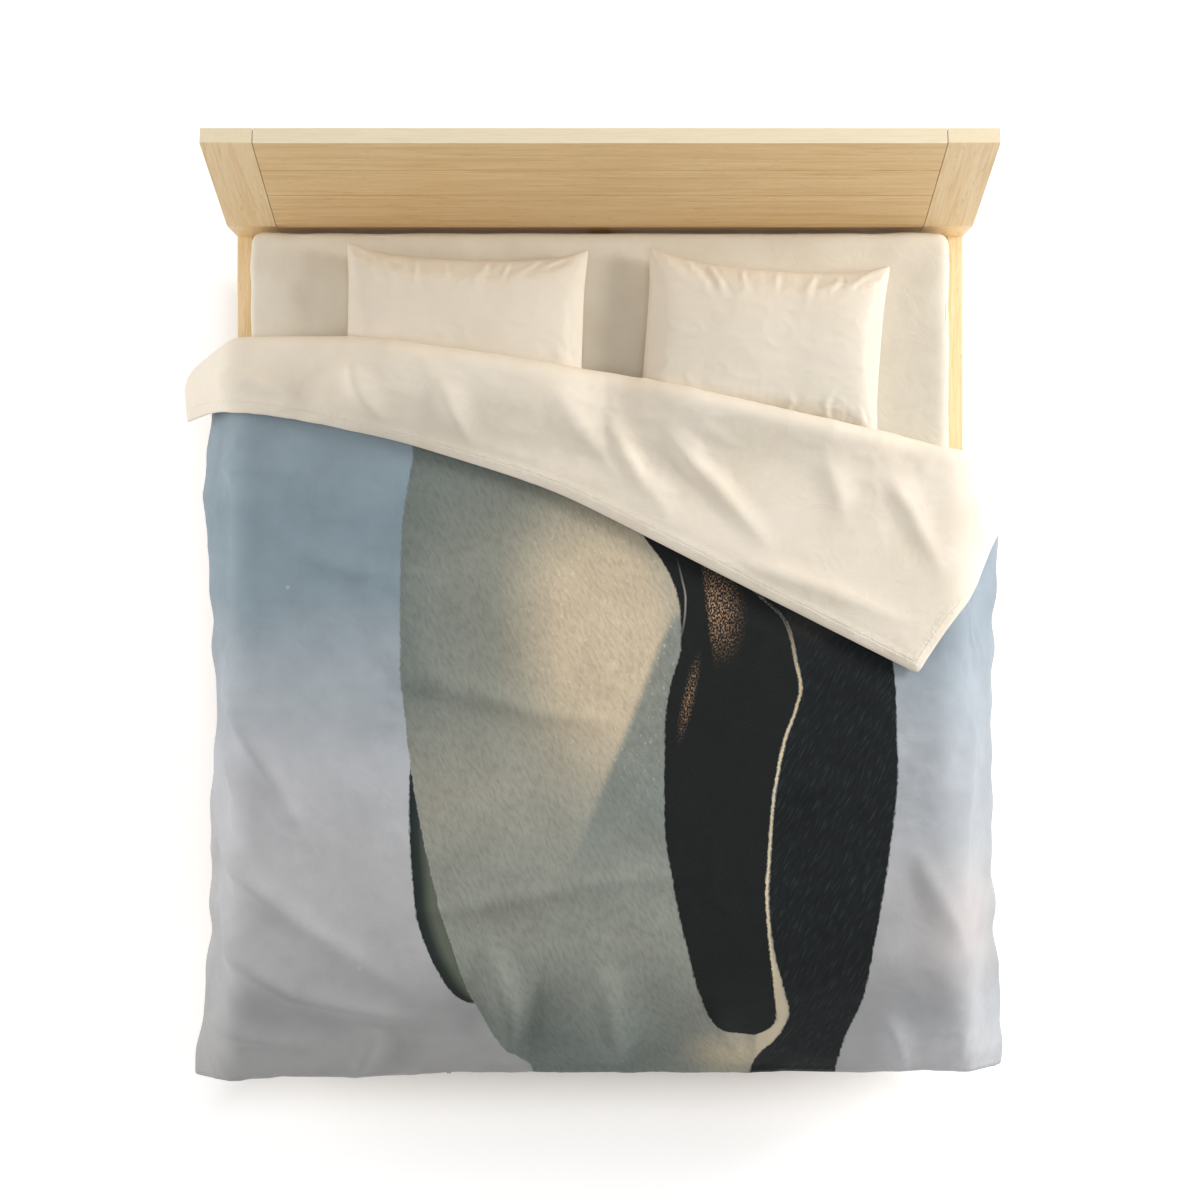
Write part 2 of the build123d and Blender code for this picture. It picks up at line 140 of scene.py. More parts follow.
def new_material(name, colour, roughness):
    """A material with its shader; the rest is wired by the section that uses it."""
    made = bpy.data.materials.new(name)
    made.use_nodes = True
    shader = made.node_tree.nodes["Principled BSDF"]
    shader.inputs["Base Color"].default_value = colour
    shader.inputs["Roughness"].default_value = roughness
    return made, made.node_tree, shader


def ramp_of(tree, factor, *stops):
    """A colour ramp read by factor; each stop is a place and a colour."""
    node = add(tree, "ShaderNodeValToRGB")
    marks = node.color_ramp.elements
    marks.remove(marks[-1])
    marks[0].position, marks[0].color = stops[0]
    for at, colour in stops[1:]:
        marks.new(at).color = colour
    tree.links.new(factor, node.inputs["Fac"])
    return node.outputs["Color"]


def noisy(tree, place, scale, detail, rough=0.5, twist=0.0):
    """Fractal noise at a place; the scale is one number, or a stretch on each axis."""
    if isinstance(scale, tuple):
        stretched = add(tree, "ShaderNodeMapping")
        stretched.inputs["Scale"].default_value = scale
        tree.links.new(place, stretched.inputs["Vector"])
        place, scale = stretched.outputs["Vector"], 1.0
    node = add(tree, "ShaderNodeTexNoise")
    tree.links.new(place, node.inputs["Vector"])
    node.inputs["Scale"].default_value = scale
    node.inputs["Detail"].default_value = detail
    node.inputs["Roughness"].default_value = rough
    node.inputs["Distortion"].default_value = twist
    return node.outputs["Fac"]


def laid(tree, under, over, mask, blend="MIX"):
    """One colour over another where the mask is 1."""
    node = add(tree, "ShaderNodeMix", data_type="RGBA", blend_type=blend)
    for socket, value in ((node.inputs[0], mask), (node.inputs[6], under), (node.inputs[7], over)):
        if isinstance(value, (float, tuple)):
            socket.default_value = value
        else:
            tree.links.new(value, socket)
    return node.outputs[2]


def bumped(tree, height, strength, distance, below=None):
    """The normal of a surface raised by a height, on top of another normal if there is one."""
    node = add(tree, "ShaderNodeBump")
    node.inputs["Strength"].default_value = strength
    node.inputs["Distance"].default_value = distance
    tree.links.new(height, node.inputs["Height"])
    if below is not None:
        tree.links.new(below, node.inputs["Normal"])
    return node.outputs["Normal"]


def timber(name, stretch, pale, dark, line, lit_top_tone, lean=0.0):
    """Wood whose grain is long along one axis; stretch is its scale on X, Y and Z, lean its tilt.
    Its figure runs from dark through pale to line; the next tone is a painted highlight, laid paler
    on the headboard's upward-facing top."""
    made, tree, shader = new_material(name, pale, 0.42)
    link = tree.links.new
    spot_at = add(tree, "ShaderNodeTexCoord").outputs["Object"]
    tilted = add(tree, "ShaderNodeVectorRotate", rotation_type="X_AXIS")
    tilted.inputs["Angle"].default_value = lean
    link(spot_at, tilted.inputs["Vector"])
    place = tilted.outputs["Vector"]
    figure = noisy(tree, place, stretch, 6, rough=0.62, twist=1.1)
    body = ramp_of(tree, figure, (0.30, dark), (0.50, pale), (0.75, line))
    # darker flecks, shorter than the figure
    fleck_stretch = tuple(7 * s if s < 10 else 2.2 * s for s in stretch)
    fleck = fade(tree, noisy(tree, place, fleck_stretch, 5, twist=1.8), 0.57, 0.72)
    darker = (*(c * share for c, share in zip(dark, (0.86, 0.74, 0.58))), 1)
    body = laid(tree, body, darker, calc(tree, "MULTIPLY", fleck, 0.55))
    # painted highlight: the headboard's upward-facing top is painted paler than its faces, standing
    # in for the light it catches
    painted_top_light = 0.75
    normal = add(tree, "ShaderNodeNewGeometry").outputs["Normal"]
    for source, start, end in ((normal, 0.88, 0.95), (spot_at, 1.08, 1.10)):
        node = add(tree, "ShaderNodeSeparateXYZ")
        link(source, node.inputs["Vector"])
        painted_top_light = calc(tree, "MULTIPLY", fade(tree, node.outputs["Z"], start, end), painted_top_light)
    body = laid(tree, body, lit_top_tone, painted_top_light)
    fibre = noisy(tree, place, tuple(6 * s for s in stretch), 4)
    streak = ramp_of(tree, fibre, (0.3, (0.9, 0.86, 0.78, 1)), (0.6, (1, 1, 1, 1)))
    link(laid(tree, body, streak, 0.55, "MULTIPLY"), shader.inputs["Base Color"])
    link(bumped(tree, fibre, 0.12, 0.002), shader.inputs["Normal"])
    shader.inputs["Coat Weight"].default_value = 0.12
    shader.inputs["Coat Roughness"].default_value = 0.35
    return made


def dress(node, material):
    """Give a CAD node its material."""
    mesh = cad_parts[node].data
    mesh.materials.clear()
    mesh.materials.append(material)


# each timber's tones: pale, dark, line and the top edge's painted highlight
maple = (srgb("eecb94"), srgb("e2b97e"), srgb("f4daab"), srgb("fff5da"))
pale_maple = (srgb("f5d8a8"), srgb("eac48c"), srgb("f9e2b8"), srgb("fff2d4"))
maple_across = timber("maple_across", (2.4, 60, 60), *maple)
maple_upright = timber("maple_upright", (60, 60, 2.4), *pale_maple)
post_lean = math.radians(15.4)
maple_leaning = timber("maple_leaning", (60, 60, 2.4), *pale_maple, lean=post_lean)
maple_lengthways = timber("maple_lengthways", (60, 2.4, 60), *pale_maple)
for node in ("headboard_post_left", "headboard_post_right", "headboard_batten_left",
             "headboard_batten_right"):
    dress(node, maple_leaning)
for node in ("corner_leg_left", "corner_leg_right"):
    dress(node, maple_upright)
for node in ("headboard_board_top", "headboard_board_middle", "headboard_board_bottom",
             "headboard_lower_panel", "head_rail", "foot_rail"):
    dress(node, maple_across)
for node in ("side_rail_left", "side_rail_right"):
    dress(node, maple_lengthways)

# ---------------------------------------------------------------- slats and centre support
# Unfinished softwood: slats across, ledgers and beam lengthways, three square legs.
pine = (srgb("e2bd85"), srgb("c4935a"), srgb("edd0a0"), srgb("e2bd85"))
pine_across = timber("pine_across", (1.6, 30, 30), *pine)
pine_lengthways = timber("pine_lengthways", (30, 1.6, 30), *pine)
pine_upright = timber("pine_upright", (30, 30, 1.6), *pine)
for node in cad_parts:
    if node.startswith("slat_") and not node.startswith("slat_ledger"):
        dress(node, pine_across)
    elif node.startswith("slat_ledger") or node == "centre_beam":
        dress(node, pine_lengthways)
    elif node.startswith("centre_leg"):
        dress(node, pine_upright)


# ---------------------------------------------------------------- brackets, screws and feet
# Powder-coated steel angles, zinc-plated screws, and ribbed black plastic levelling feet.
def fine_finish(name, colour, roughness, metal, scale, depth):
    """Paint, plating or moulded plastic with a fine uneven surface."""
    made, tree, shader = new_material(name, colour, roughness)
    link = tree.links.new
    shader.inputs["Metallic"].default_value = metal
    speck = noisy(tree, add(tree, "ShaderNodeTexCoord").outputs["Object"], scale, 3)
    dull = (*(0.82 * c for c in colour[:3]), 1)
    link(ramp_of(tree, speck, (0.35, dull), (0.65, colour)), shader.inputs["Base Color"])
    worn = add(tree, "ShaderNodeMapRange")
    worn.inputs["To Min"].default_value = roughness - 0.08
    worn.inputs["To Max"].default_value = roughness + 0.10
    link(speck, worn.inputs["Value"])
    link(worn.outputs["Result"], shader.inputs["Roughness"])
    link(bumped(tree, speck, 0.25, depth), shader.inputs["Normal"])
    return made


black_coat = fine_finish("black_powder_coat", srgb("26262a"), 0.5, 0.0, 900, 0.0002)
zinc = fine_finish("zinc_plate", srgb("b9bbb8"), 0.35, 1.0, 700, 0.0001)
black_plastic = fine_finish("black_plastic", srgb("222224"), 0.55, 0.0, 600, 0.0003)
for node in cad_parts:
    if node == "bracket_screws":
        dress(node, zinc)
    elif node.startswith("bracket"):
        dress(node, black_coat)
    elif node.startswith("levelling_foot"):
        dress(node, black_plastic)


# ---------------------------------------------------------------- mattress
# A pocket-spring mattress in a pale knitted cover quilted in diamonds, with woven tape
# round its edges. Only its underside shows between the slats; the sheet hides the rest.
def woven(name, colour, shade, pitch, creases, coords="Object"):
    """Plain-weave cotton: crossing threads, a soft mottled tone, faint creases and a bloom."""
    made, tree, shader = new_material(name, colour, 0.88)
    link = tree.links.new
    place = add(tree, "ShaderNodeTexCoord").outputs[coords]
    mottle = noisy(tree, place, 5.0, 5, rough=0.6)
    link(ramp_of(tree, mottle, (0.3, shade), (0.62, colour)), shader.inputs["Base Color"])
    threads = []
    for direction in ("X", "Y"):
        wave = add(tree, "ShaderNodeTexWave", wave_type="BANDS", bands_direction=direction)
        wave.inputs["Scale"].default_value = pitch
        wave.inputs["Distortion"].default_value = 1.5
        wave.inputs["Detail"].default_value = 1
        wave.inputs["Detail Scale"].default_value = 0.6
        link(place, wave.inputs["Vector"])
        threads.append(wave.outputs["Fac"])
    weave = bumped(tree, calc(tree, "ADD", *threads), 0.25, 0.0004)
    crease = noisy(tree, place, 9.0, 4, rough=0.55, twist=1.4)
    link(bumped(tree, crease, creases, 0.006, below=weave), shader.inputs["Normal"])
    shader.inputs["Sheen Weight"].default_value = 0.15
    shader.inputs["Sheen Roughness"].default_value = 0.5
    shader.inputs["Specular IOR Level"].default_value = 0.25
    return made


ticking = woven("mattress_ticking", srgb("efece4"), srgb("dedad0"), 420, 0.2)
binding = woven("binding_tape", srgb("e6e1d6"), srgb("d3cdbf"), 300, 0.1)
foam = fine_finish("mattress_foam", srgb("efe2bd"), 0.95, 0.0, 260, 0.0012)
for node in ("mattress_cover", "mattress_pocket_grid"):
    dress(node, ticking)
for node in ("mattress_tape_lower", "mattress_tape_upper"):
    dress(node, binding)
for node in ("mattress_edge_foam", "mattress_comfort_layer", "mattress_base_pad"):
    dress(node, foam)

# ---------------------------------------------------------------- fitted sheet
# One cut of cream percale with its corners sewn into pockets, pulled over the mattress and
# gathered under it by elastic. It lies close to the mattress, with shallow pull creases.
sheet_low, sheet_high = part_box("fitted_sheet")
sheet_tuck = 0.15
sheet_cloth = 0.0012
sheet_round = 0.022


def only(thing):
    """Select one object and make it the active one."""
    bpy.ops.object.select_all(action="DESELECT")
    thing.select_set(True)
    bpy.context.view_layer.objects.active = thing


def modify(thing, name, kind, **settings):
    """Add a modifier to a piece with its settings made."""
    modifier = thing.modifiers.new(name, kind)
    for key, value in settings.items():
        setattr(modifier, key, value)


def apply_all(thing):
    """Apply every modifier of a piece in order."""
    only(thing)
    for modifier in list(thing.modifiers):
        bpy.ops.object.modifier_apply(modifier=modifier.name)


def points_of(thing, what="co"):
    """The piece's points, or what else each point holds, as an array."""
    values = np.empty(len(thing.data.vertices) * 3)
    thing.data.vertices.foreach_get(what, values)
    return values.reshape(-1, 3)


def move_points(thing, co):
    """Put the piece's points where an array says."""
    thing.data.vertices.foreach_set("co", np.ascontiguousarray(co).ravel())
    thing.data.update()


def pick_faces(thing, wanted):
    """In edit mode, select just the faces whose centre and normal are wanted."""
    bpy.ops.object.mode_set(mode="EDIT")
    bpy.ops.mesh.select_mode(type="FACE")
    bpy.ops.mesh.select_all(action="DESELECT")
    shape = bmesh.from_edit_mesh(thing.data)
    for face in shape.faces:
        face.select_set(bool(wanted(face.calc_center_median(), face.normal)))
    bmesh.update_edit_mesh(thing.data)


def bevel_edges(thing, wanted, width, segments):
    """Round the edges whose middle and direction are wanted."""
    only(thing)
    bpy.ops.object.mode_set(mode="EDIT")
    bpy.ops.mesh.select_mode(type="EDGE")
    bpy.ops.mesh.select_all(action="DESELECT")
    shape = bmesh.from_edit_mesh(thing.data)
    for edge in shape.edges:
        a, b = (v.co for v in edge.verts)
        edge.select_set(bool(wanted((a + b) / 2, (b - a).normalized())))
    bmesh.update_edit_mesh(thing.data)
    bpy.ops.mesh.bevel(offset=width, segments=segments, affect="EDGES")
    bpy.ops.object.mode_set(mode="OBJECT")


sheet_middle = (sheet_low + sheet_high) / 2
bpy.ops.mesh.primitive_cube_add(size=1, location=sheet_middle, scale=sheet_high - sheet_low)
sheet = bpy.context.object
sheet.name = "sheet_fitted"
bpy.ops.object.transform_apply(location=True, rotation=True, scale=True)
bevel_edges(sheet, lambda at, way: abs(way.z) > 0.9, sheet_round, 5)
bevel_edges(sheet, lambda at, way: at.z > sheet_high.z - 1e-4, sheet_round, 5)
modify(sheet, "even_mesh", "REMESH", mode="VOXEL", voxel_size=0.012)
apply_all(sheet)

# it stands a little off the mattress, pulled in rays at the corners and loose elsewhere
sheet_points = points_of(sheet)
sheet_normals = points_of(sheet, "normal")
for n, (x, y, z) in enumerate(sheet_points.copy()):
    corner = math.exp(-((abs(x) - 0.93) ** 2 + (abs(y) - 0.98) ** 2) / 0.06)
    pull = math.sin(38 * (abs(x) - abs(y)) + 3 * noise.noise((3 * x, 3 * y, z)))
    loose = noise.noise((2.2 * x, 5.0 * y, 4.0 * z)) + 0.5 * noise.noise((7 * x + 9, 3 * y, 6 * z))
    stand_off = 0.0030 + 0.0018 * corner * (1 + pull) + 0.0022 * (1.2 + loose)
    sheet_points[n] += sheet_normals[n] * stand_off
move_points(sheet, sheet_points)
inner_x = sheet_high.x - sheet_tuck
inner_y = sheet_high.y - sheet_tuck
pick_faces(
    sheet,
    lambda at, way: at.z < sheet_low.z + 0.03 and abs(at.x) < inner_x and abs(at.y) < inner_y,
)
bpy.ops.mesh.delete(type="FACE")
bpy.ops.object.mode_set(mode="OBJECT")
modify(sheet, "cloth", "SOLIDIFY", thickness=sheet_cloth, offset=-1)
apply_all(sheet)
bpy.ops.object.shade_smooth()
sheet.data.materials.append(woven("percale_cream", srgb("e6decd"), srgb("ddd3c1"), 480, 0.5))
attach(sheet, "mattress")
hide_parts("fitted_sheet")


# ---------------------------------------------------------------- pillows
# Fibre-filled pillows in cream cases: two panels sewn round the edge, blown up by their
# filling, so that the corners stand out as ears and creases run in from the seams.
def flat_cloth(name, width, length, columns, rows):
    """A flat grid of cloth centred on the origin."""
    bpy.ops.mesh.primitive_grid_add(x_subdivisions=columns, y_subdivisions=rows, size=1)
    cloth = bpy.context.object
    cloth.name = name
    cloth.scale = (width, length, 1)
    bpy.ops.object.transform_apply(location=False, rotation=False, scale=True)
    return cloth


def run_cloth(thing, frames, stiffness, bending, pressure=0.0, growth=0.0, gravity=1.0, hold=None):
    """Blender's cloth on a piece for some frames, applied to its mesh."""
    scene = bpy.context.scene
    only(thing)
    cloth = thing.modifiers.new("cloth", "CLOTH")
    settings = cloth.settings
    settings.quality = 6
    settings.mass = 0.3
    settings.air_damping = 2.5
    settings.tension_stiffness = settings.compression_stiffness = stiffness
    settings.shear_stiffness = stiffness / 2
    settings.bending_stiffness = bending
    settings.tension_damping = settings.compression_damping = settings.shear_damping = 8
    settings.bending_damping = 4
    settings.shrink_min = -growth
    settings.effector_weights.gravity = gravity
    if pressure:
        settings.use_pressure = True
        settings.uniform_pressure_force = pressure
    if hold:
        settings.vertex_group_mass = hold
        settings.pin_stiffness = 1.0
    cloth.point_cache.frame_start = 1
    cloth.point_cache.frame_end = frames
    scene.frame_start = 1
    scene.frame_end = frames
    for step in range(1, frames + 1):
        scene.frame_set(step)
    only(thing)
    bpy.ops.object.modifier_apply(modifier="cloth")
    scene.frame_set(1)


def hold_near(thing, start, most):
    """Draw a piece's points back to within a distance of where they started."""
    now = points_of(thing)
    moved = now - start
    length = np.maximum(np.linalg.norm(moved, axis=1, keepdims=True), 1e-9)
    move_points(thing, start + moved * np.minimum(1, most / length))


def ripple(co, size, seed):
    """Smooth noise between -1 and 1 at each point; size is its usual wavelength in metres."""
    scaled = np.asarray(co) / size + seed
    return np.array([noise.noise(Vector(p)) for p in scaled])


def crest(x, y, line, width):
    """1 on a line, fading to 0 at the width on both sides and fading towards its ends."""
    best = np.full(x.shape, 9.0)
    taper = np.zeros(x.shape)
    for n, ((ax, ay), (bx, by)) in enumerate(zip(line, line[1:])):
        span = (bx - ax) ** 2 + (by - ay) ** 2
        share = np.clip(((x - ax) * (bx - ax) + (y - ay) * (by - ay)) / span, 0, 1)
        away = np.hypot(x - ax - share * (bx - ax), y - ay - share * (by - ay))
        reach = (n + share) / (len(line) - 1)
        rise = np.clip(reach / 0.2, 0, 1) * np.clip((1 - reach) / 0.4, 0, 1)
        taper = np.where(away < best, 0.2 + 0.8 * rise, taper)
        best = np.minimum(best, away)
    return taper * np.exp(-((best / width) ** 2))


pillow_cotton = woven("pillowcase_cream", srgb("e9dfcf"), srgb("e4dac8"), 480, 0.25)
pillow_columns, pillow_rows = 84, 60
pillow_plump, pillow_ears = 0.010, 0.014
upper_rise, lower_rise, pillow_wall = 0.064, 0.056, 0.0015
pillow_floor = 0.012
# the deeper creases run in from the seams: each has its line, its width and its height
pinches = (
    (((-0.285, 0.215), (-0.235, 0.165), (-0.205, 0.12)), 0.012, 0.0080),
    (((-0.215, 0.200), (-0.180, 0.155), (-0.165, 0.11)), 0.010, 0.0070),
    (((-0.120, 0.195), (-0.108, 0.150), (-0.112, 0.12)), 0.010, 0.0055),
    (((-0.030, 0.190), (-0.024, 0.160), (-0.034, 0.13)), 0.009, 0.0045),
    (((0.085, 0.190), (0.062, 0.150), (0.055, 0.11)), 0.011, 0.0070),
    (((0.150, 0.195), (0.135, 0.165), (0.120, 0.14)), 0.009, 0.0050),
    (((0.225, 0.200), (0.185, 0.170), (0.155, 0.155)), 0.010, 0.0065),
    (((0.295, 0.215), (0.250, 0.185), (0.215, 0.175)), 0.010, 0.0060),
    (((-0.330, 0.030), (-0.290, 0.020), (-0.255, 0.022)), 0.011, 0.0045),
    (((-0.325, -0.150), (-0.280, -0.135), (-0.245, -0.14)), 0.011, 0.0060),
    (((0.325, -0.060), (0.290, -0.055), (0.260, -0.03)), 0.011, 0.0045),
    (((0.030, -0.200), (0.045, -0.165), (0.035, -0.13)), 0.010, 0.0055),
    (((0.150, -0.200), (0.135, -0.160), (0.150, -0.12)), 0.010, 0.0060),
    (((0.250, -0.205), (0.240, -0.175), (0.225, -0.15)), 0.009, 0.0040),
)
for side, turn, seed in (("left", -1.8, 1.0), ("right", -4.4, 7.0)):
    low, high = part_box(f"pillow_{side}_case")
    middle = (low + high) / 2
    lean = math.radians(abs(turn))
    # half the case's own length and depth, from the box of the turned solid
    spread_x, spread_y = high.x - low.x, high.y - low.y
    across = math.cos(lean) ** 2 - math.sin(lean) ** 2
    half_long = (spread_x * math.cos(lean) - spread_y * math.sin(lean)) / across / 2 + pillow_plump
    half_deep = (spread_y * math.cos(lean) - spread_x * math.sin(lean)) / across / 2 + pillow_plump
    pillow = flat_cloth(f"pillow_{side}", 2, 2, pillow_columns, pillow_rows)
    modify(pillow, "two_panels", "SOLIDIFY", thickness=0.01, offset=0)
    apply_all(pillow)
    plan = points_of(pillow)
    u, v = np.clip(plan[:, 0], -1, 1), np.clip(plan[:, 1], -1, 1)
    facing = np.where(plan[:, 2] > 0, 1.0, -1.0)
    # the seams draw in between the corners, and the filling crowns both panels
    pull_x = 0.020 * (1 - np.abs(v) ** 4) * np.abs(u) ** 3
    pull_y = 0.042 * (1 - np.abs(u) ** 2.8) * np.abs(v) ** 3
    crown = ((1 - np.abs(u) ** 2.6) * (1 - np.abs(v) ** 2.2)).clip(0) ** 0.52
    thick = np.where(facing > 0, upper_rise, lower_rise) * crown + pillow_wall
    tip = pillow_ears * np.abs(u * v) ** 9
    shape = np.stack(
        [u * (half_long - pull_x - tip), v * (half_deep - pull_y - tip), facing * thick], axis=1
    )
    lumps = ripple(shape * (1, 1, 0), 0.16, seed)
    shape[:, 2] += np.where(facing > 0, 1, 0) * 0.006 * crown * lumps
    move_points(pillow, shape)
    run_cloth(pillow, 22, 14, 0.5, pressure=3.5, growth=0.010, gravity=0.0)
    hold_near(pillow, shape, 0.011)
    blown = points_of(pillow)
    # it lies on the sheet, so its underside is pressed flat
    blown[:, 2] += lower_rise + 0.002
    pressed = pillow_floor - 0.25 * (pillow_floor - blown[:, 2])
    blown[:, 2] = np.where(blown[:, 2] < pillow_floor, pressed, blown[:, 2])
    blown[:, 2] += low.z + 0.001 - blown[:, 2].min()
    move_points(pillow, blown)
    modify(pillow, "finer", "SUBSURF", levels=1)
    apply_all(pillow)
    # short creases run in from the seams, all round
    fine = points_of(pillow)
    to_ends, to_sides = half_long - np.abs(fine[:, 0]), half_deep - np.abs(fine[:, 1])
    edge = np.minimum(to_ends, to_sides).clip(0)
    along = np.where(to_ends < to_sides, fine[:, 1], fine[:, 0])
    beside_seam = np.stack([along * 2.4, edge * 0.5, 0 * edge], axis=1)
    crease = 1 - 2.4 * np.abs(ripple(beside_seam, 0.06, seed))
    upper = np.clip((fine[:, 2] - low.z - 0.045) / 0.02, 0, 1)
    fine[:, 2] += np.exp(-edge / 0.06) * 0.0022 * crease.clip(-0.4) * upper
    shift = 0.012 * seed - 0.04
    near_seam = np.exp(-((edge / 0.135) ** 2)) * upper
    wander = 0.008 * ripple(fine * (1, 1, 0), 0.05, seed + 3)
    for line, width, height in pinches:
        width = width * (0.62 + 4 * edge)
        place_x = fine[:, 0] - shift + wander
        spine = crest(place_x, fine[:, 1], line, width)
        trough = crest(place_x - 1.5 * width, fine[:, 1], line, width)
        fine[:, 2] += 0.85 * height * (spine - 0.6 * trough) * near_seam
    crumple = 1 - 2.2 * np.abs(ripple(fine * (1.0, 1.5, 1.0), 0.065, seed + 5))
    fine[:, 2] += 0.0014 * crumple.clip(0) * upper
    move_points(pillow, fine)
    pillow.location = (middle.x, middle.y, 0)
    pillow.rotation_euler = (0, 0, math.radians(turn))
    only(pillow)
    bpy.ops.object.transform_apply(location=True, rotation=True, scale=True)
    bpy.ops.object.shade_smooth()
    pillow.data.materials.append(pillow_cotton)
    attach(pillow, f"pillow_{side}")
    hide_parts(f"pillow_{side}_case", f"pillow_{side}_fill")

# ---------------------------------------------------------------- duvet
# A fibre-filled quilt in a cotton cover, printed on its face and plain cream behind. It hangs
# over both sides and the foot of the bed, and its head end is turned back at a slant.
bed_top = sheet_high.z + 0.0003
side_drop = (0.967, math.radians(69))
flap_drop = (0.974, math.radians(63))
foot_edge, foot_slope = 1.017, math.radians(33)
layer_middle, layer_step = 0.0195, 0.0386
duvet_thick = 0.034
duvet_half = 1.32
foot_hem = -1.391
hem_start, hem_end = -1.30, 0.875
fold_line = (
    (-1.32, 0.62), (-0.96, 0.695), (-0.70, 0.69), (0.115, 0.574), (0.748, 0.436), (1.0, 0.37),
    (1.32, 0.275),
)
hem_line = (
    (-1.32, 0.51), (-1.10, 0.53), (-0.87, 0.506), (-0.566, 0.448), (-0.12, 0.30), (0.31, 0.08),
    (0.875, -0.205),
)
columns, main_rows, arc_rows, flap_rows = 124, 92, 6, 26

# the pillows lift the quilt where it lies over their lower edges
lift_reach, lift_foot, lift_head = 1.35, -0.2, 1.1
pillow_top, pillow_slope = 0.1203, math.tan(math.radians(38))
pillow_reach_x, pillow_reach_y = 0.405, 0.305
lift_x, lift_y = np.linspace(-lift_reach, lift_reach, 181), np.linspace(lift_foot, lift_head, 121)
grid_x, grid_y = np.meshgrid(lift_x, lift_y)
pillow_lift = np.zeros_like(grid_x)
for centre_x, centre_y, turn in ((-0.372, 0.735, -1.8), (0.450, 0.708, -4.4)):
    turned = math.radians(turn)
    apart_x, apart_y = grid_x - centre_x, grid_y - centre_y
    own_x = np.abs(apart_x * math.cos(turned) + apart_y * math.sin(turned)) - pillow_reach_x
    own_y = np.abs(apart_y * math.cos(turned) - apart_x * math.sin(turned)) - pillow_reach_y
    climb = -np.maximum(own_x, own_y) * pillow_slope
    pillow_lift = np.maximum(pillow_lift, np.minimum(climb, pillow_top))
for _ in range(45):
    wide = np.pad(pillow_lift, 1, mode="edge")
    pillow_lift = (wide[1:-1, :-2] + wide[1:-1, 2:] + wide[:-2, 1:-1] + wide[2:, 1:-1]) / 4


def lift_at(x, y):
    """How far the pillows lift the quilt at each point."""
    across = np.clip(x, -lift_reach, lift_reach) + lift_reach
    across = across / (2 * lift_reach) * (len(lift_x) - 1)
    along = np.clip(y, lift_foot, lift_head) - lift_foot
    along = along / (lift_head - lift_foot) * (len(lift_y) - 1)
    i = np.minimum(across.astype(int), len(lift_x) - 2)
    j = np.minimum(along.astype(int), len(lift_y) - 2)
    a, b = across - i, along - j
    near = pillow_lift[j, i] * (1 - a) + pillow_lift[j, i + 1] * a
    far = pillow_lift[j + 1, i] * (1 - a) + pillow_lift[j + 1, i + 1] * a
    return near * (1 - b) + far * b


def over_edge(past, angle, radius):
    """How far out and down cloth lies, at a distance past an edge that it bends over."""
    start = radius * math.tan(angle / 2)
    turned = np.clip(past + start, 0, radius * angle) / radius
    rest = np.maximum(past + start - radius * angle, 0)
    out = np.minimum(past + start, 0) - start + radius * np.sin(turned) + rest * math.cos(angle)
    return out, radius * (1 - np.cos(turned)) + rest * math.sin(angle)


def lie(x, y, height, drop):
    """Where points of flat cloth lie on the bed, at a height above the quilt's underside."""
    half, slope = drop
    half = half + height * math.tan(slope / 2)
    foot = foot_edge + height * math.tan(foot_slope / 2)
    out, down = over_edge(np.abs(x) - half, slope, 0.10)
    out_foot, down_foot = over_edge(-y - foot, foot_slope, 0.25)
    sunk = (down ** 3 + down_foot ** 3) ** (1 / 3)
    corner = 0.10 * np.sqrt(np.maximum(down * down_foot, 0))
    z = bed_top + height + lift_at(x, y) - sunk
    return np.stack((np.sign(x) * (half + out + corner), -(foot + out_foot + corner), z), axis=-1)


def eased(line, x):
    """A line through a few points, with its corners smoothed."""
    y = np.interp(x, [p[0] for p in line], [p[1] for p in line])
    for _ in range(40):
        y[1:-1] = (y[:-2] + 2 * y[1:-1] + y[2:]) / 4
    return y


def folded(x, y, folds, share=1.0, narrow=1.0):
    """How far folds raise the cloth at each point; each has its line, its width and its height."""
    total = np.zeros(x.shape)
    for line, width, height in folds:
        total += share * height * crest(x, y, line, narrow * width)
    return total


def swell(x, y, height, size, seed):
    """Broad soft unevenness of flat cloth, from 0 to twice a height."""
    plane = np.stack([x.ravel(), y.ravel(), 0 * x.ravel()], axis=1)
    return (height * (1 + ripple(plane, size, seed))).reshape(x.shape)


def surface_normals(surface):
    """Unit normals of a grid of points, on the side that its rows and columns turn to."""
    facing = np.cross(np.gradient(surface, axis=1), np.gradient(surface, axis=0))
    return facing / np.linalg.norm(facing, axis=-1, keepdims=True)


# the sheet of quilt as a grid: up the bed from the foot hem, round the fold, and back down
all_rows = main_rows + arc_rows + flap_rows
duvet = flat_cloth("duvet", 1, 1, columns, all_rows)
plan = points_of(duvet)
column = np.rint((plan[:, 0] + 0.5) * columns).astype(int)
row = np.rint((plan[:, 1] + 0.5) * all_rows).astype(int)
main_x = np.linspace(-duvet_half, duvet_half, columns + 1)
fold_y = eased(fold_line, main_x)
hem_x = np.linspace(hem_start, hem_end, columns + 1)
hem_y = eased(hem_line, hem_x)

up = np.linspace(0, 1, main_rows + 1)[:, None]
cloth_x = np.repeat(main_x[None], main_rows + 1, axis=0)
cloth_y = foot_hem + (fold_y[None] - foot_hem) * up
main = lie(cloth_x, cloth_y, layer_middle, side_drop)

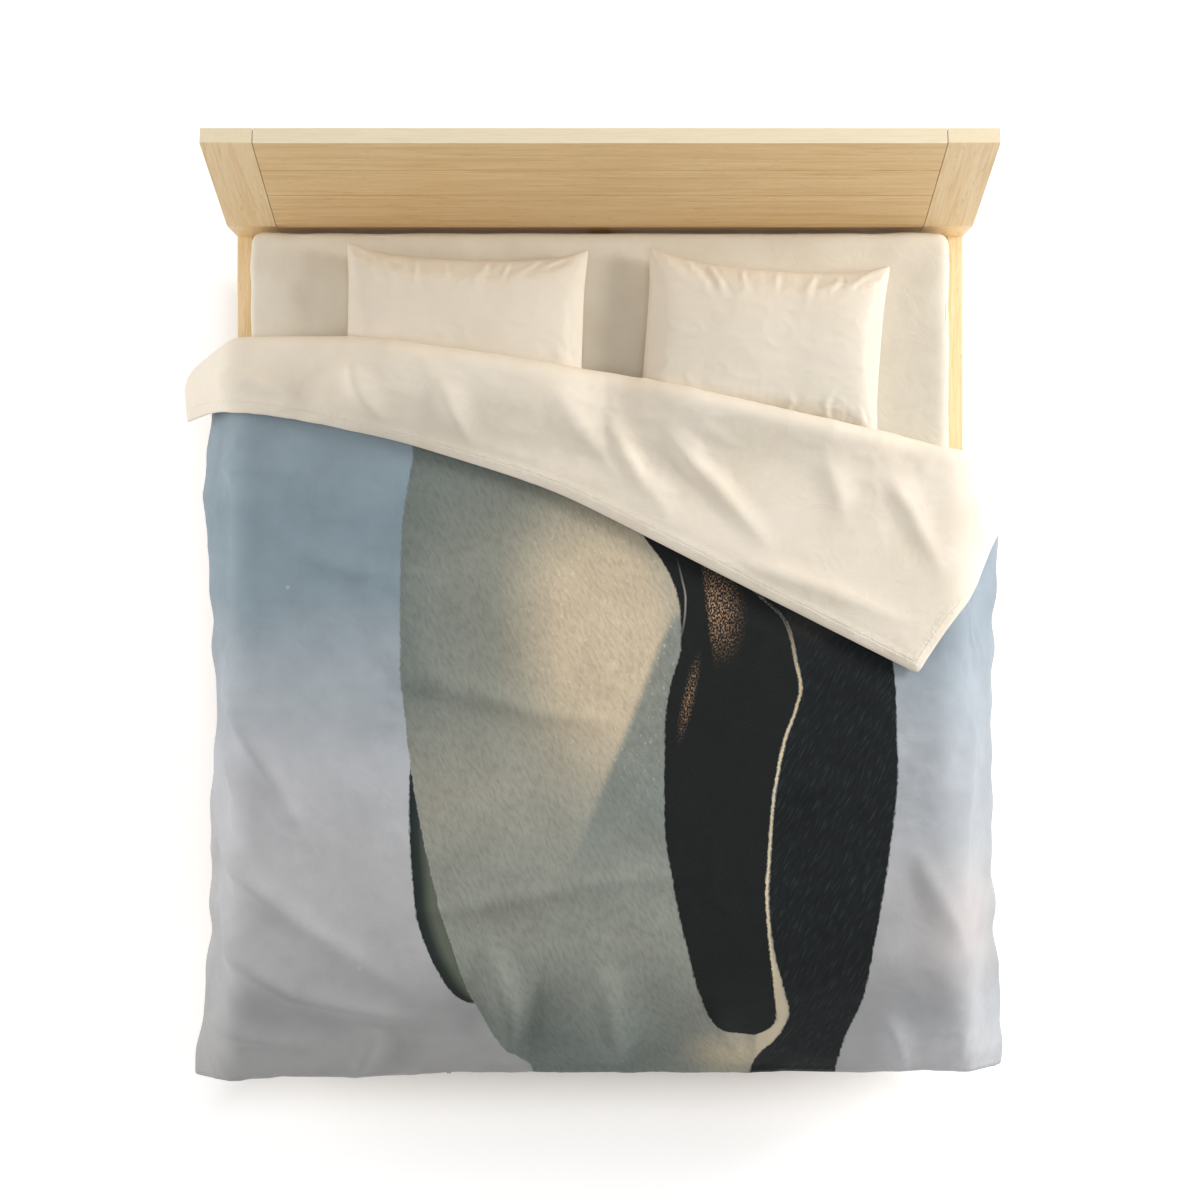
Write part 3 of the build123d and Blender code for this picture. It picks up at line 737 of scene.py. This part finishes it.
# hanging edges sway out and in, the foot hem dips, and long soft folds cross the quilt
sway_y = (-1.40, -1.15, -0.90, -0.55, -0.30, -0.05, 0.30, 0.60)
sway_left = (0.030, 0.012, 0.006, 0.0, -0.012, 0.0, 0.024, 0.010)
sway_right = (0.016, 0.024, 0.022, 0.010, 0.016, 0.026, 0.048, 0.052)
sway_from, sway_over, ruffle_deep = 0.98, 0.34, 0.004
hang = np.clip((np.abs(cloth_x) - sway_from) / sway_over, 0, 1)
to_left, to_right = (np.interp(cloth_y, sway_y, line) for line in (sway_left, sway_right))
sway = np.where(cloth_x < 0, to_left, to_right)
ruffle = np.sin(cloth_y * 21 + 2.0 * np.sin(cloth_y * 6.5)) + 0.6 * np.sin(cloth_y * 43 + 1.3)
main[..., 0] += np.sign(cloth_x) * (hang ** 1.5) * (sway + ruffle_deep * ruffle)
toe = np.clip((-cloth_y - 1.08) / 0.31, 0, 1) ** 1.5
dip_x = (-1.32, -1.0, -0.75, -0.50, -0.46, 0.46, 0.55, 0.75, 1.0, 1.32)
dip_y = (0.016, 0.014, 0.012, 0.004, 0, 0, -0.004, 0.002, -0.012, -0.016)
main[..., 1] -= toe * np.interp(cloth_x, dip_x, dip_y)
main_folds = (
    (((-1.16, -0.60), (-1.06, -0.70), (-0.945, -0.80), (-0.82, -0.90), (-0.55, -1.06)), 0.03, 0.02),
    (((-1.14, -0.84), (-1.0, -0.99), (-0.86, -1.08), (-0.61, -1.15), (-0.4, -1.19)), 0.038, 0.022),
    (((-1.05, -0.20), (-0.98, -0.36), (-0.90, -0.50), (-0.81, -0.66)), 0.024, 0.019),
    (((-1.10, -0.32), (-1.05, -0.45), (-1.0, -0.56)), 0.020, 0.016),
    (((-1.22, -1.20), (-1.02, -1.22), (-0.80, -1.27)), 0.030, 0.016),
    (((-0.52, -0.87), (-0.28, -0.83), (-0.02, -0.78), (0.30, -0.76)), 0.034, 0.016),
    (((-0.58, -0.19), (-0.36, -0.25), (-0.165, -0.31), (0.08, -0.34)), 0.036, 0.017),
    (((-0.84, 0.13), (-0.68, 0.08), (-0.50, 0.07)), 0.028, 0.012),
    (((-1.10, 0.40), (-1.02, 0.36), (-0.86, 0.36)), 0.026, 0.014),
    (((-0.30, -0.98), (-0.25, -1.15), (-0.26, -1.36)), 0.040, 0.028),
    (((0.0, -1.00), (0.02, -1.18), (0.06, -1.36)), 0.075, 0.036),
    (((-0.16, -1.04), (-0.18, -1.20), (-0.20, -1.38)), 0.045, -0.016),
    (((0.30, -1.10), (0.36, -1.25), (0.42, -1.38)), 0.050, 0.019),
    (((-0.62, -1.20), (-0.66, -1.30), (-0.70, -1.39)), 0.040, 0.019),
    (((0.80, -1.16), (0.84, -1.28), (0.86, -1.39)), 0.035, 0.014),
    (((0.88, -0.70), (0.94, -0.85), (1.0, -0.99)), 0.030, 0.016),
    (((1.06, -0.30), (1.03, -0.48), (1.02, -0.66)), 0.026, 0.016),
    (((1.02, 0.02), (1.06, -0.10), (1.14, -0.18)), 0.026, 0.014),
    (((0.52, -0.55), (0.70, -0.50), (0.84, -0.42)), 0.035, 0.011),
)
flat_folds = folded(cloth_x, cloth_y, main_folds) + swell(cloth_x, cloth_y * 1.6, 0.006, 0.34, 4.0)
# there are none under the turned-back end, and none where the zip keeps the foot hem straight
clear = np.clip((np.interp(cloth_x, hem_x, hem_y) - cloth_y) / 0.10, 0, 1)
past_zip = np.clip((np.abs(cloth_x) - 0.47) / 0.08, 0, 1)
above_zip = np.clip((cloth_y - foot_hem - 0.02) / 0.12, 0, 1)
flat_folds *= clear * np.maximum(past_zip, above_zip)
main += surface_normals(main) * flat_folds[..., None]

# the turned-back part, from the fold to its own hem
back = np.linspace(1 / flap_rows, 1, flap_rows)[:, None]
sooner = 1 - 0.32 * np.clip((main_x[None] - 0.8) / 0.5, 0, 1)
flap_x = main_x[None] + (hem_x - main_x)[None] * back ** sooner
flap_y = fold_y[None] + (hem_y - fold_y)[None] * back
flap_x = np.concatenate([main_x[None], flap_x])
flap_y = np.concatenate([fold_y[None], flap_y])
stretch = 1 + 0.060 * np.clip((-flap_x - 0.95) / 0.37, 0, 1)
flap = lie(flap_x * stretch, flap_y, layer_middle + layer_step, flap_drop)
flap_hang = np.clip((flap_x - sway_from) / sway_over, 0, 1) ** 1.5
flap[..., 0] += flap_hang * (np.interp(flap_y, sway_y, sway_right) + ruffle_deep)
flap_folds = (
    (((0.19, 0.48), (0.27, 0.37), (0.35, 0.28), (0.455, 0.16)), 0.026, 0.020),
    (((0.03, 0.50), (0.07, 0.40), (0.11, 0.334), (0.19, 0.235)), 0.030, 0.016),
    (((0.79, 0.34), (0.85, 0.25), (0.89, 0.17), (0.94, 0.08)), 0.026, 0.015),
    (((0.62, 0.40), (0.655, 0.30), (0.67, 0.22)), 0.034, 0.011),
    (((-0.66, 0.64), (-0.645, 0.58), (-0.60, 0.52)), 0.030, 0.018),
    (((-0.43, 0.60), (-0.40, 0.53), (-0.36, 0.46)), 0.030, 0.015),
    (((-0.12, 0.57), (-0.07, 0.50), (0.0, 0.42), (0.06, 0.33)), 0.040, 0.012),
    (((-1.06, 0.62), (-0.94, 0.60), (-0.82, 0.55)), 0.028, 0.011),
    (((0.40, 0.10), (0.62, 0.03), (0.84, -0.06)), 0.024, 0.012),
    (((1.02, 0.30), (1.05, 0.20), (1.06, 0.12)), 0.030, 0.012),
)
turned_folds = folded(flap_x, flap_y, flap_folds) + swell(flap_x, flap_y, 0.004, 0.22, 11.0)
turned_folds *= np.clip(np.arange(flap_rows + 1) / 4, 0, 1)[:, None]
flap -= surface_normals(flap) * turned_folds[..., None]

# round the fold, from the main part's last row to the turned part's first
ahead = main[-1] - main[-2]
ahead /= np.linalg.norm(ahead, axis=-1, keepdims=True)
half_gap = np.linalg.norm(flap[0] - main[-1], axis=-1, keepdims=True) / 2
arc = []
for n in range(1, arc_rows):
    turned = math.pi * n / arc_rows
    share = (1 - math.cos(turned)) / 2
    arc.append(main[-1] * (1 - share) + flap[0] * share + ahead * half_gap * math.sin(turned))
layers = np.concatenate([main, np.array(arc), flap])

# a short cloth run lets the quilt buckle; each point then keeps off the layer below it
outward = surface_normals(layers)
outward[main_rows + arc_rows // 2:] *= -1
rest_points = layers[row, column]
move_points(duvet, rest_points)
held = duvet.vertex_groups.new(name="held")
held.add(list(range(len(rest_points))), 0.12, "REPLACE")
run_cloth(duvet, 24, 18, 6.0, growth=0.012, gravity=0.25, hold="held")
hold_near(duvet, rest_points, 0.012)
moved = points_of(duvet) - rest_points
away = outward[row, column]
raised = (moved * away).sum(axis=1, keepdims=True)
settled = moved + (np.clip(raised + 0.003, 0, 0.009) - raised) * away
near_zip = (np.abs(rest_points[:, 0]) < 0.5) & (row < 3)
settled[near_zip] = 0
move_points(duvet, rest_points + settled)


def corner_points(thing):
    """Which point each corner of a piece's faces is."""
    corners = np.empty(len(thing.data.loops), dtype=int)
    thing.data.loops.foreach_get("vertex_index", corners)
    return corners


# the print and the weave follow the flat cloth; a second map holds the distance from its edges,
# and a third, taken off again below, says where on the bed each point lies
turn_length = np.hypot(hem_x - main_x, hem_y - fold_y)
arc_length = math.pi * layer_step / 2
steps = np.arange(1, arc_rows)[:, None] / arc_rows
on_flap = np.linspace(0, 1, flap_rows + 1)[:, None]
flat_y = np.concatenate(
    [cloth_y, fold_y + arc_length * steps, fold_y + arc_length + turn_length * on_flap]
)
flat_x = np.repeat(main_x[None], len(flat_y), axis=0)
to_side = duvet_half - np.abs(flat_x)
to_end = np.minimum(flat_y - foot_hem, (fold_y + arc_length + turn_length) - flat_y)
off_bed = np.full((arc_rows - 1, columns + 1), 9.0)
bed_x = np.concatenate([cloth_x, off_bed, flap_x])
bed_y = np.concatenate([cloth_y, off_bed, flap_y])
charts = duvet.data.uv_layers
charts[0].name = "flat"
for name in ("edge", "bed"):
    charts.new(name=name)
for name, first, second in (
    ("flat", flat_x, flat_y), ("edge", to_side, to_end), ("bed", bed_x, bed_y),
):
    pairs = np.stack([first[row, column], second[row, column]], axis=1)
    charts[name].data.foreach_set("uv", pairs[corner_points(duvet)].ravel())
charts.active = charts["flat"]
charts["flat"].active_render = True

# filled to full thickness inside, thin at the sewn edges, and deep again along the zip
inset = np.minimum(to_side, to_end)[row, column]
fullness = 0.16 + 0.84 * np.clip(inset / 0.075, 0, 1) ** 0.55
beside_zip = (np.abs(flat_x[row, column]) < 0.49) & (row < main_rows // 2)
fullness = np.where(beside_zip, np.maximum(fullness, 0.86), fullness)
filled = duvet.vertex_groups.new(name="filled")
for n, weight in enumerate(fullness):
    filled.add([n], float(weight), "REPLACE")
modify(
    duvet, "filling", "SOLIDIFY", thickness=duvet_thick, offset=0, use_quality_normals=True,
    vertex_group="filled", material_offset=1, material_offset_rim=1,
)
modify(duvet, "finer", "SUBSURF", levels=1)
# the two slots that the filling needs; their materials are made and put in below
for name in ("pending_print", "pending_cream"):
    duvet.data.materials.append(bpy.data.materials.new(name))
apply_all(duvet)
bpy.ops.object.shade_smooth()


def chart_of(thing, name):
    """Where each of a piece's points is on one of its maps."""
    corners = corner_points(thing)
    pairs = np.empty(len(corners) * 2)
    thing.data.uv_layers[name].data.foreach_get("uv", pairs)
    places = np.empty((len(thing.data.vertices), 2))
    places[corners] = pairs.reshape(-1, 2)
    return places


# the folds' sharp crests and the cloth's fine crumples, on the sides that face up and out
fine, facing = points_of(duvet), points_of(duvet, "normal")
flat, bed = chart_of(duvet, "flat"), chart_of(duvet, "bed")
turned_back = flat[:, 1] > np.interp(flat[:, 0], main_x, fold_y) + arc_length
crests = np.zeros(len(fine))
for folds, part in ((main_folds, ~turned_back), (flap_folds, turned_back)):
    crests[part] = folded(bed[part, 0], bed[part, 1], folds, share=0.42, narrow=0.38)
crumple = 1 - 2.2 * np.abs(ripple(fine * (1.0, 1.4, 1.0), 0.105, 3.0))
patchy = np.clip(0.55 + 1.1 * ripple(fine, 0.33, 8.0), 0, 1)
small = 1 - 2.2 * np.abs(ripple(fine * (1.3, 1.0, 1.0), 0.038, 5.0))
shown = np.clip((facing[:, 2] - 0.05) / 0.3, 0, 1)
# the cover's upper edge stands past the zip as a lip
over_zip = np.clip((0.52 - np.abs(bed[:, 0])) / 0.03, 0, 1)
over_zip *= np.clip(1 - (bed[:, 1] - foot_hem) / 0.03, 0, 1)
fine[:, 1] -= 0.010 * over_zip * np.clip(facing[:, 2] + 0.2, 0, 1)
crumples = patchy * (0.0034 * crumple.clip(0) + 0.0014 * small.clip(0))
fine += facing * (shown * (crests + crumples))[:, None]
move_points(duvet, fine)
charts = duvet.data.uv_layers
charts.remove(charts["bed"])


def speckle(tree, place, scale, detail=3.0):
    """Noise on the flat cloth, with its own scale across and along it."""
    return noisy(tree, place, (*scale, 1), detail)


def spot(tree, place, centre, size, turn=0.0):
    """1 at the middle of a soft oval, 0 outside it."""
    moved = add(tree, "ShaderNodeMapping", vector_type="TEXTURE")
    moved.inputs["Location"].default_value = (*centre, 0)
    moved.inputs["Rotation"].default_value = (0, 0, turn)
    moved.inputs["Scale"].default_value = (*size, 1)
    tree.links.new(place, moved.inputs["Vector"])
    length = add(tree, "ShaderNodeVectorMath", operation="LENGTH")
    tree.links.new(moved.outputs["Vector"], length.inputs[0])
    return fade(tree, length.outputs["Value"], 1.0, 0.0)


def tinted(tree, under, code, share, *masks):
    """A share of one colour laid over another, where every mask is 1."""
    for mask in masks:
        share = calc(tree, "MULTIPLY", mask, share)
    return laid(tree, under, srgb(code), share)


def hemmed(made, reach):
    """Stitches at a reach from the cloth's edges, with the double cloth's ridge and puckers.
    It returns the seam's mask."""
    tree = made.node_tree
    shader = tree.nodes["Principled BSDF"]
    chart = add(tree, "ShaderNodeUVMap", uv_map="edge")
    parts = add(tree, "ShaderNodeSeparateXYZ")
    tree.links.new(chart.outputs["UV"], parts.inputs["Vector"])
    flat = add(tree, "ShaderNodeTexCoord").outputs["UV"]
    inset = calc(tree, "MINIMUM", parts.outputs["X"], parts.outputs["Y"])
    from_seam = calc(tree, "ABSOLUTE", calc(tree, "SUBTRACT", inset, reach))
    seam = calc(tree, "SUBTRACT", 1.0, fade(tree, from_seam, 0.0, 0.0035))
    doubled = calc(tree, "MULTIPLY", fade(tree, inset, reach, reach - 0.004), 0.4)
    puckered = calc(tree, "MULTIPLY", fade(tree, from_seam, 0.024, 0.0), 2.4)
    height = calc(tree, "MULTIPLY_ADD", speckle(tree, flat, (55, 55), 2.0), puckered, doubled)
    height = calc(tree, "SUBTRACT", height, calc(tree, "MULTIPLY", seam, 0.3))
    below = shader.inputs["Normal"].links[0].from_socket
    tree.links.new(bumped(tree, height, 0.6, 0.003, below), shader.inputs["Normal"])
    return seam


cream_back = woven("cream_cotton", srgb("f1e6d5"), srgb("eadeca"), 480, 0.40, coords="UV")
tree = cream_back.node_tree
base = tree.nodes["Principled BSDF"].inputs["Base Color"]
plain = base.links[0].from_socket
tree.links.new(tinted(tree, plain, "e2d6c1", 0.3, hemmed(cream_back, 0.030)), base)

# the printed face: a large standing penguin's body on a pale wintry blur, without its head
printed = woven("printed_cotton", srgb("ffffff"), srgb("ededed"), 480, 0.42, coords="UV")
tree = printed.node_tree
place = add(tree, "ShaderNodeTexCoord").outputs["UV"]
parts = add(tree, "ShaderNodeSeparateXYZ")
tree.links.new(place, parts.inputs["Vector"])
across, along = parts.outputs["X"], parts.outputs["Y"]
# drawn lines are curves over this part of the flat cloth
left_end, right_end, low_end, high_end = -0.7, 0.9, -1.45, 0.75
wide, tall = right_end - left_end, high_end - low_end
height = calc(tree, "DIVIDE", calc(tree, "SUBTRACT", along, low_end), tall)


def times(*values):
    """The product of numbers or sockets, on the print."""
    product = values[0]
    for value in values[1:]:
        product = calc(tree, "MULTIPLY", product, value)
    return product


def less(value, other):
    """A difference, on the print."""
    return calc(tree, "SUBTRACT", value, other)


def tones(factor, *stops):
    """A colour ramp whose stops are a place and a colour's digits, on the print."""
    return ramp_of(tree, factor, *((at, srgb(code)) for at, code in stops))


def line_down(*points):
    """A line drawn down the cloth: how far across it is at each height."""
    node = add(tree, "ShaderNodeFloatCurve")
    curve = node.mapping.curves[0]
    scaled = sorted(((y - low_end) / tall, (x - left_end) / wide) for x, y in points)
    curve.points[0].location = scaled[0]
    curve.points[1].location = scaled[-1]
    for at in scaled[1:-1]:
        curve.points.new(*at)
    for point in curve.points:
        point.handle_type = "AUTO_CLAMPED"
    node.mapping.extend = "HORIZONTAL"
    node.mapping.update()
    tree.links.new(height, node.inputs["Value"])
    return calc(tree, "MULTIPLY_ADD", node.outputs["Value"], wide, left_end)


drift = calc(tree, "MULTIPLY_ADD", speckle(tree, place, (1.2, 2.6)), 0.16, -0.08)
air = tones(
    calc(tree, "ADD", height, drift),
    (0.03, "b0afae"), (0.16, "b7b6b6"), (0.32, "c0c0c1"), (0.46, "bbbec2"),
    (0.56, "a9b2b8"), (0.66, "909fa8"), (0.78, "899aa3"), (0.90, "9aa8b0"),
)
air = tinted(tree, air, "9fa7b0", 0.5, fade(tree, across, 0.55, 1.15))
for code, share, centre, size in (
    ("c8bfbb", 0.7, (1.08, -0.90), (0.42, 0.30)),
    ("dcdcde", 0.9, (1.0, -1.34), (0.42, 0.34)),
    ("c9c6c8", 0.5, (-1.0, -0.60), (0.5, 0.35)),
):
    air = tinted(tree, air, code, share, spot(tree, place, centre, size))
flakes = add(tree, "ShaderNodeTexVoronoi")
flakes.inputs["Scale"].default_value = 7.0
tree.links.new(place, flakes.inputs["Vector"])
air = tinted(tree, air, "c4ced4", 0.5, fade(tree, flakes.outputs["Distance"], 0.055, 0.02))

fuzz = calc(tree, "MULTIPLY_ADD", speckle(tree, place, (150, 60), 4.0), 0.012, -0.006)
fuzzy_across = calc(tree, "ADD", across, fuzz)


def right_of(line, soft):
    """1 to the right of a drawn line, 0 to its left."""
    return fade(tree, less(fuzzy_across, line), -soft, soft)


def between(left, right, soft=0.003):
    """1 between two drawn lines, 0 outside them."""
    return times(right_of(left, soft), less(1.0, right_of(right, soft)))


belly_left = line_down(
    (-0.50, 0.60), (-0.514, 0.42), (-0.547, 0.20), (-0.552, -0.06), (-0.538, -0.33),
    (-0.508, -0.55), (-0.44, -0.85), (-0.353, -1.10), (-0.27, -1.26), (-0.19, -1.37),
)
far_wing_left = line_down(
    (-0.515, -0.40), (-0.522, -0.4445), (-0.527, -0.541), (-0.516, -0.787), (-0.4915, -0.928),
    (-0.447, -1.024), (-0.395, -1.095), (-0.362, -1.115),
)
wing_left = line_down(
    (-0.02, 0.60), (0.0, 0.45), (0.03, 0.30), (0.116, 0.18), (0.196, 0.06), (0.222, -0.03),
    (0.2236, -0.116), (0.193, -0.24), (0.179, -0.33), (0.177, -0.585), (0.204, -0.80),
    (0.24, -0.96), (0.276, -1.08), (0.33, -1.18), (0.40, -1.222), (0.43, -1.228),
)
wing_right = line_down(
    (0.30, 0.30), (0.36, 0.10), (0.442, 0.005), (0.505, -0.06), (0.538, -0.18), (0.549, -0.24),
    (0.538, -0.293), (0.505, -0.39), (0.483, -0.50), (0.472, -0.585), (0.461, -0.734),
    (0.456, -0.80), (0.464, -0.93), (0.486, -1.10), (0.4915, -1.165), (0.469, -1.21),
    (0.43, -1.228),
)
back_left = line_down(
    (0.31, 0.30), (0.37, 0.10), (0.45, 0.005), (0.513, -0.06), (0.547, -0.18), (0.558, -0.24),
    (0.547, -0.293), (0.514, -0.39), (0.492, -0.50), (0.481, -0.585), (0.470, -0.734),
    (0.466, -0.80), (0.478, -0.95), (0.512, -1.08), (0.527, -1.15), (0.515, -1.20),
    (0.49, -1.25), (0.445, -1.30), (0.425, -1.37),
)
back_right = line_down(
    (0.74, 0.40), (0.76, 0.20), (0.80, -0.10), (0.817, -0.276), (0.82, -0.453), (0.8035, -0.671),
    (0.776, -0.848), (0.751, -0.98), (0.723, -1.13), (0.69, -1.235), (0.668, -1.345),
)


def brushed(turn, scale):
    """Noise whose strokes slant across the cloth."""
    node = add(tree, "ShaderNodeMapping")
    node.inputs["Rotation"].default_value = (0, 0, turn)
    tree.links.new(place, node.inputs["Vector"])
    return speckle(tree, node.outputs["Vector"], scale, 4.0)


# pale underside: cool at its left, warm where the low sun reaches it, in shade beside the wing
from_left = less(across, belly_left)
upper = tones(
    from_left, (0.0, "7f8882"), (0.08, "8c928a"), (0.30, "9c9c8f"), (0.62, "a7a799"),
    (0.95, "a6aba4"),
)
lower = tones(from_left, (0.0, "a09d90"), (0.10, "aeab9d"), (0.40, "b0aea0"), (0.75, "a6aba3"))
belly = laid(tree, upper, lower, fade(tree, along, -0.20, -0.60))
sunlit = times(spot(tree, place, (0.02, -0.10), (0.34, 0.62), 0.12), 1.5)
sunlit = calc(tree, "MINIMUM", sunlit, 1.0)
belly = tinted(tree, belly, "e0ceb0", 0.95, sunlit)
shade_line = calc(tree, "MULTIPLY_ADD", along, 0.402, 0.217)
past_shade_line = fade(tree, less(fuzzy_across, shade_line), -0.016, 0.016)
belly = tinted(tree, belly, "858f8a", 0.85, past_shade_line, fade(tree, along, 0.0, -0.08))
belly = laid(tree, belly, srgb("9b9e94"), fade(tree, along, -0.45, -0.85))
low_left = times(fade(tree, along, -0.95, -1.30), fade(tree, across, 0.30, 0.05))
belly = laid(tree, belly, srgb("808983"), low_left)
belly = tinted(tree, belly, "d3c4a6", 0.9, spot(tree, place, (0.37, -1.29), (0.17, 0.14)))
belly = tinted(tree, belly, "6d7772", 0.75, fade(tree, along, 0.05, 0.50))
greys = ((at, (grey, grey, grey, 1)) for at, grey in ((0.32, 0.80), (0.52, 0.94), (0.68, 1.0)))
tuft = ramp_of(tree, brushed(-0.45, (120, 36)), *greys)
belly = laid(tree, belly, tuft, 1.0, "MULTIPLY")
glisten = fade(tree, speckle(tree, place, (110, 60), 2.0), 0.60, 0.74)
belly = tinted(tree, belly, "f0e4c8", 0.55, times(glisten, sunlit))

# dark back with fine slanting barbs, and the leathery near wing with two warm glints
back = tones(brushed(0.5, (170, 22)), (0.35, "101415"), (0.55, "171c1e"), (0.75, "2c3537"))
back = tinted(tree, back, "4a443c", 0.5, spot(tree, place, (0.60, 0.0), (0.16, 0.16)))
leather = speckle(tree, place, (260, 260))
wing = tones(leather, (0.35, "131617"), (0.6, "1b1d1d"), (0.8, "2a2827"))
streak_left = line_down(
    (0.270, 0.14), (0.280, 0.08), (0.292, 0.0), (0.302, -0.08), (0.31, -0.14)
)
upper_glint = times(
    spot(tree, place, (0.315, -0.03), (0.10, 0.17), 0.12),
    fade(tree, less(fuzzy_across, streak_left), -0.004, 0.006),
)
lower_glint = times(spot(tree, place, (0.245, -0.27), (0.022, 0.15), -0.22), 0.8)
grains = fade(tree, speckle(tree, place, (230, 150), 4.0), 0.46, 0.64)
glints = calc(tree, "MAXIMUM", upper_glint, lower_glint)
wing = tinted(tree, wing, "d6ab84", 0.85, times(glints, grains))
hair_line = line_down(
    (0.21, 0.12), (0.225, 0.06), (0.236, 0.0), (0.229, -0.08), (0.218, -0.12)
)
hair = fade(tree, calc(tree, "ABSOLUTE", less(across, hair_line)), 0.004, 0.001)
wing = tinted(tree, wing, "a8a39a", 0.8, times(hair, spot(tree, place, (0.23, 0.0), (0.10, 0.13))))
far_wing = tones(less(across, far_wing_left), (0.0, "1c2522"), (0.022, "2b3430"), (0.05, "646a5c"))

# the parts of the picture over each other, from the far wing to the near wing's pale rim
beside = times(between(far_wing_left, belly_left), fade(tree, along, -1.120, -1.108))
design = laid(tree, air, far_wing, beside)
design = laid(tree, design, belly, between(belly_left, back_right))
below_wing = times(between(wing_right, back_left, 0.012), fade(tree, along, -0.92, -1.02))
design = laid(tree, design, srgb("d9ccb0"), below_wing)
design = laid(tree, design, back, between(back_left, back_right))
near_wing = times(between(wing_left, wing_right), fade(tree, along, -1.232, -1.224))
design = laid(tree, design, wing, near_wing)
frayed = calc(tree, "MULTIPLY_ADD", speckle(tree, place, (110, 110)), 0.014, -0.007)
from_rim = less(calc(tree, "ADD", across, frayed), calc(tree, "ADD", wing_right, 0.004))
rim = fade(tree, calc(tree, "ABSOLUTE", from_rim), 0.0052, 0.0014)
rim = times(rim, fade(tree, along, -1.19, -1.10))
rim_tone = tones(height, (0.45, "e0cfae"), (0.57, "cdb892"), (0.63, "4b4239"), (0.72, "2a2826"))
design = laid(tree, design, rim_tone, rim)

hemmed(printed, 0.012)
base = tree.nodes["Principled BSDF"].inputs["Base Color"]
tree.links.new(laid(tree, design, base.links[0].from_socket, 1.0, "MULTIPLY"), base)
duvet.data.materials[0] = printed
duvet.data.materials[1] = cream_back
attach(duvet, "duvet")
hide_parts("duvet_cover_face", "duvet_cover_back", "duvet_insert")

# ---------------------------------------------------------------- zip
# A white woven zip tape sewn into the middle of the foot hem, with a row of small moulded
# teeth, and a plated slider with its pull tab. Tape, slider and tab are the CAD nodes.
zip_low, zip_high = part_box("duvet_zip_tape")
dress("duvet_zip_tape", woven("zip_tape", srgb("e9e4da"), srgb("d8d2c6"), 520, 0.1))
plated = fine_finish("zip_plate", srgb("c6c4bd"), 0.28, 1.0, 500, 0.0001)
for node in ("duvet_zip_slider", "duvet_zip_tab"):
    dress(node, plated)
tooth_pitch = 0.003
tooth_size = (0.0021, 0.0010, 0.0052)
row_end = 0.004
first_tooth = (zip_low.x + row_end, zip_low.y - 0.0004, (zip_low.z + zip_high.z) / 2)
bpy.ops.object.select_all(action="DESELECT")
bpy.ops.mesh.primitive_cube_add(size=1, location=first_tooth, scale=tooth_size)
teeth = bpy.context.object
teeth.name = "zip_teeth"
bpy.ops.object.transform_apply(location=True, rotation=True, scale=True)
bevel_edges(teeth, lambda at, way: at.y < first_tooth[1] - 0.0003, 0.0004, 1)
modify(
    teeth, "row", "ARRAY", use_relative_offset=False, use_constant_offset=True,
    constant_offset_displace=(tooth_pitch, 0, 0),
    count=int((zip_high.x - zip_low.x - 2 * row_end) / tooth_pitch),
)
apply_all(teeth)
teeth.data.materials.append(fine_finish("moulded_teeth", srgb("dad6cd"), 0.45, 0.0, 900, 0.0001))
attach(teeth, "duvet")
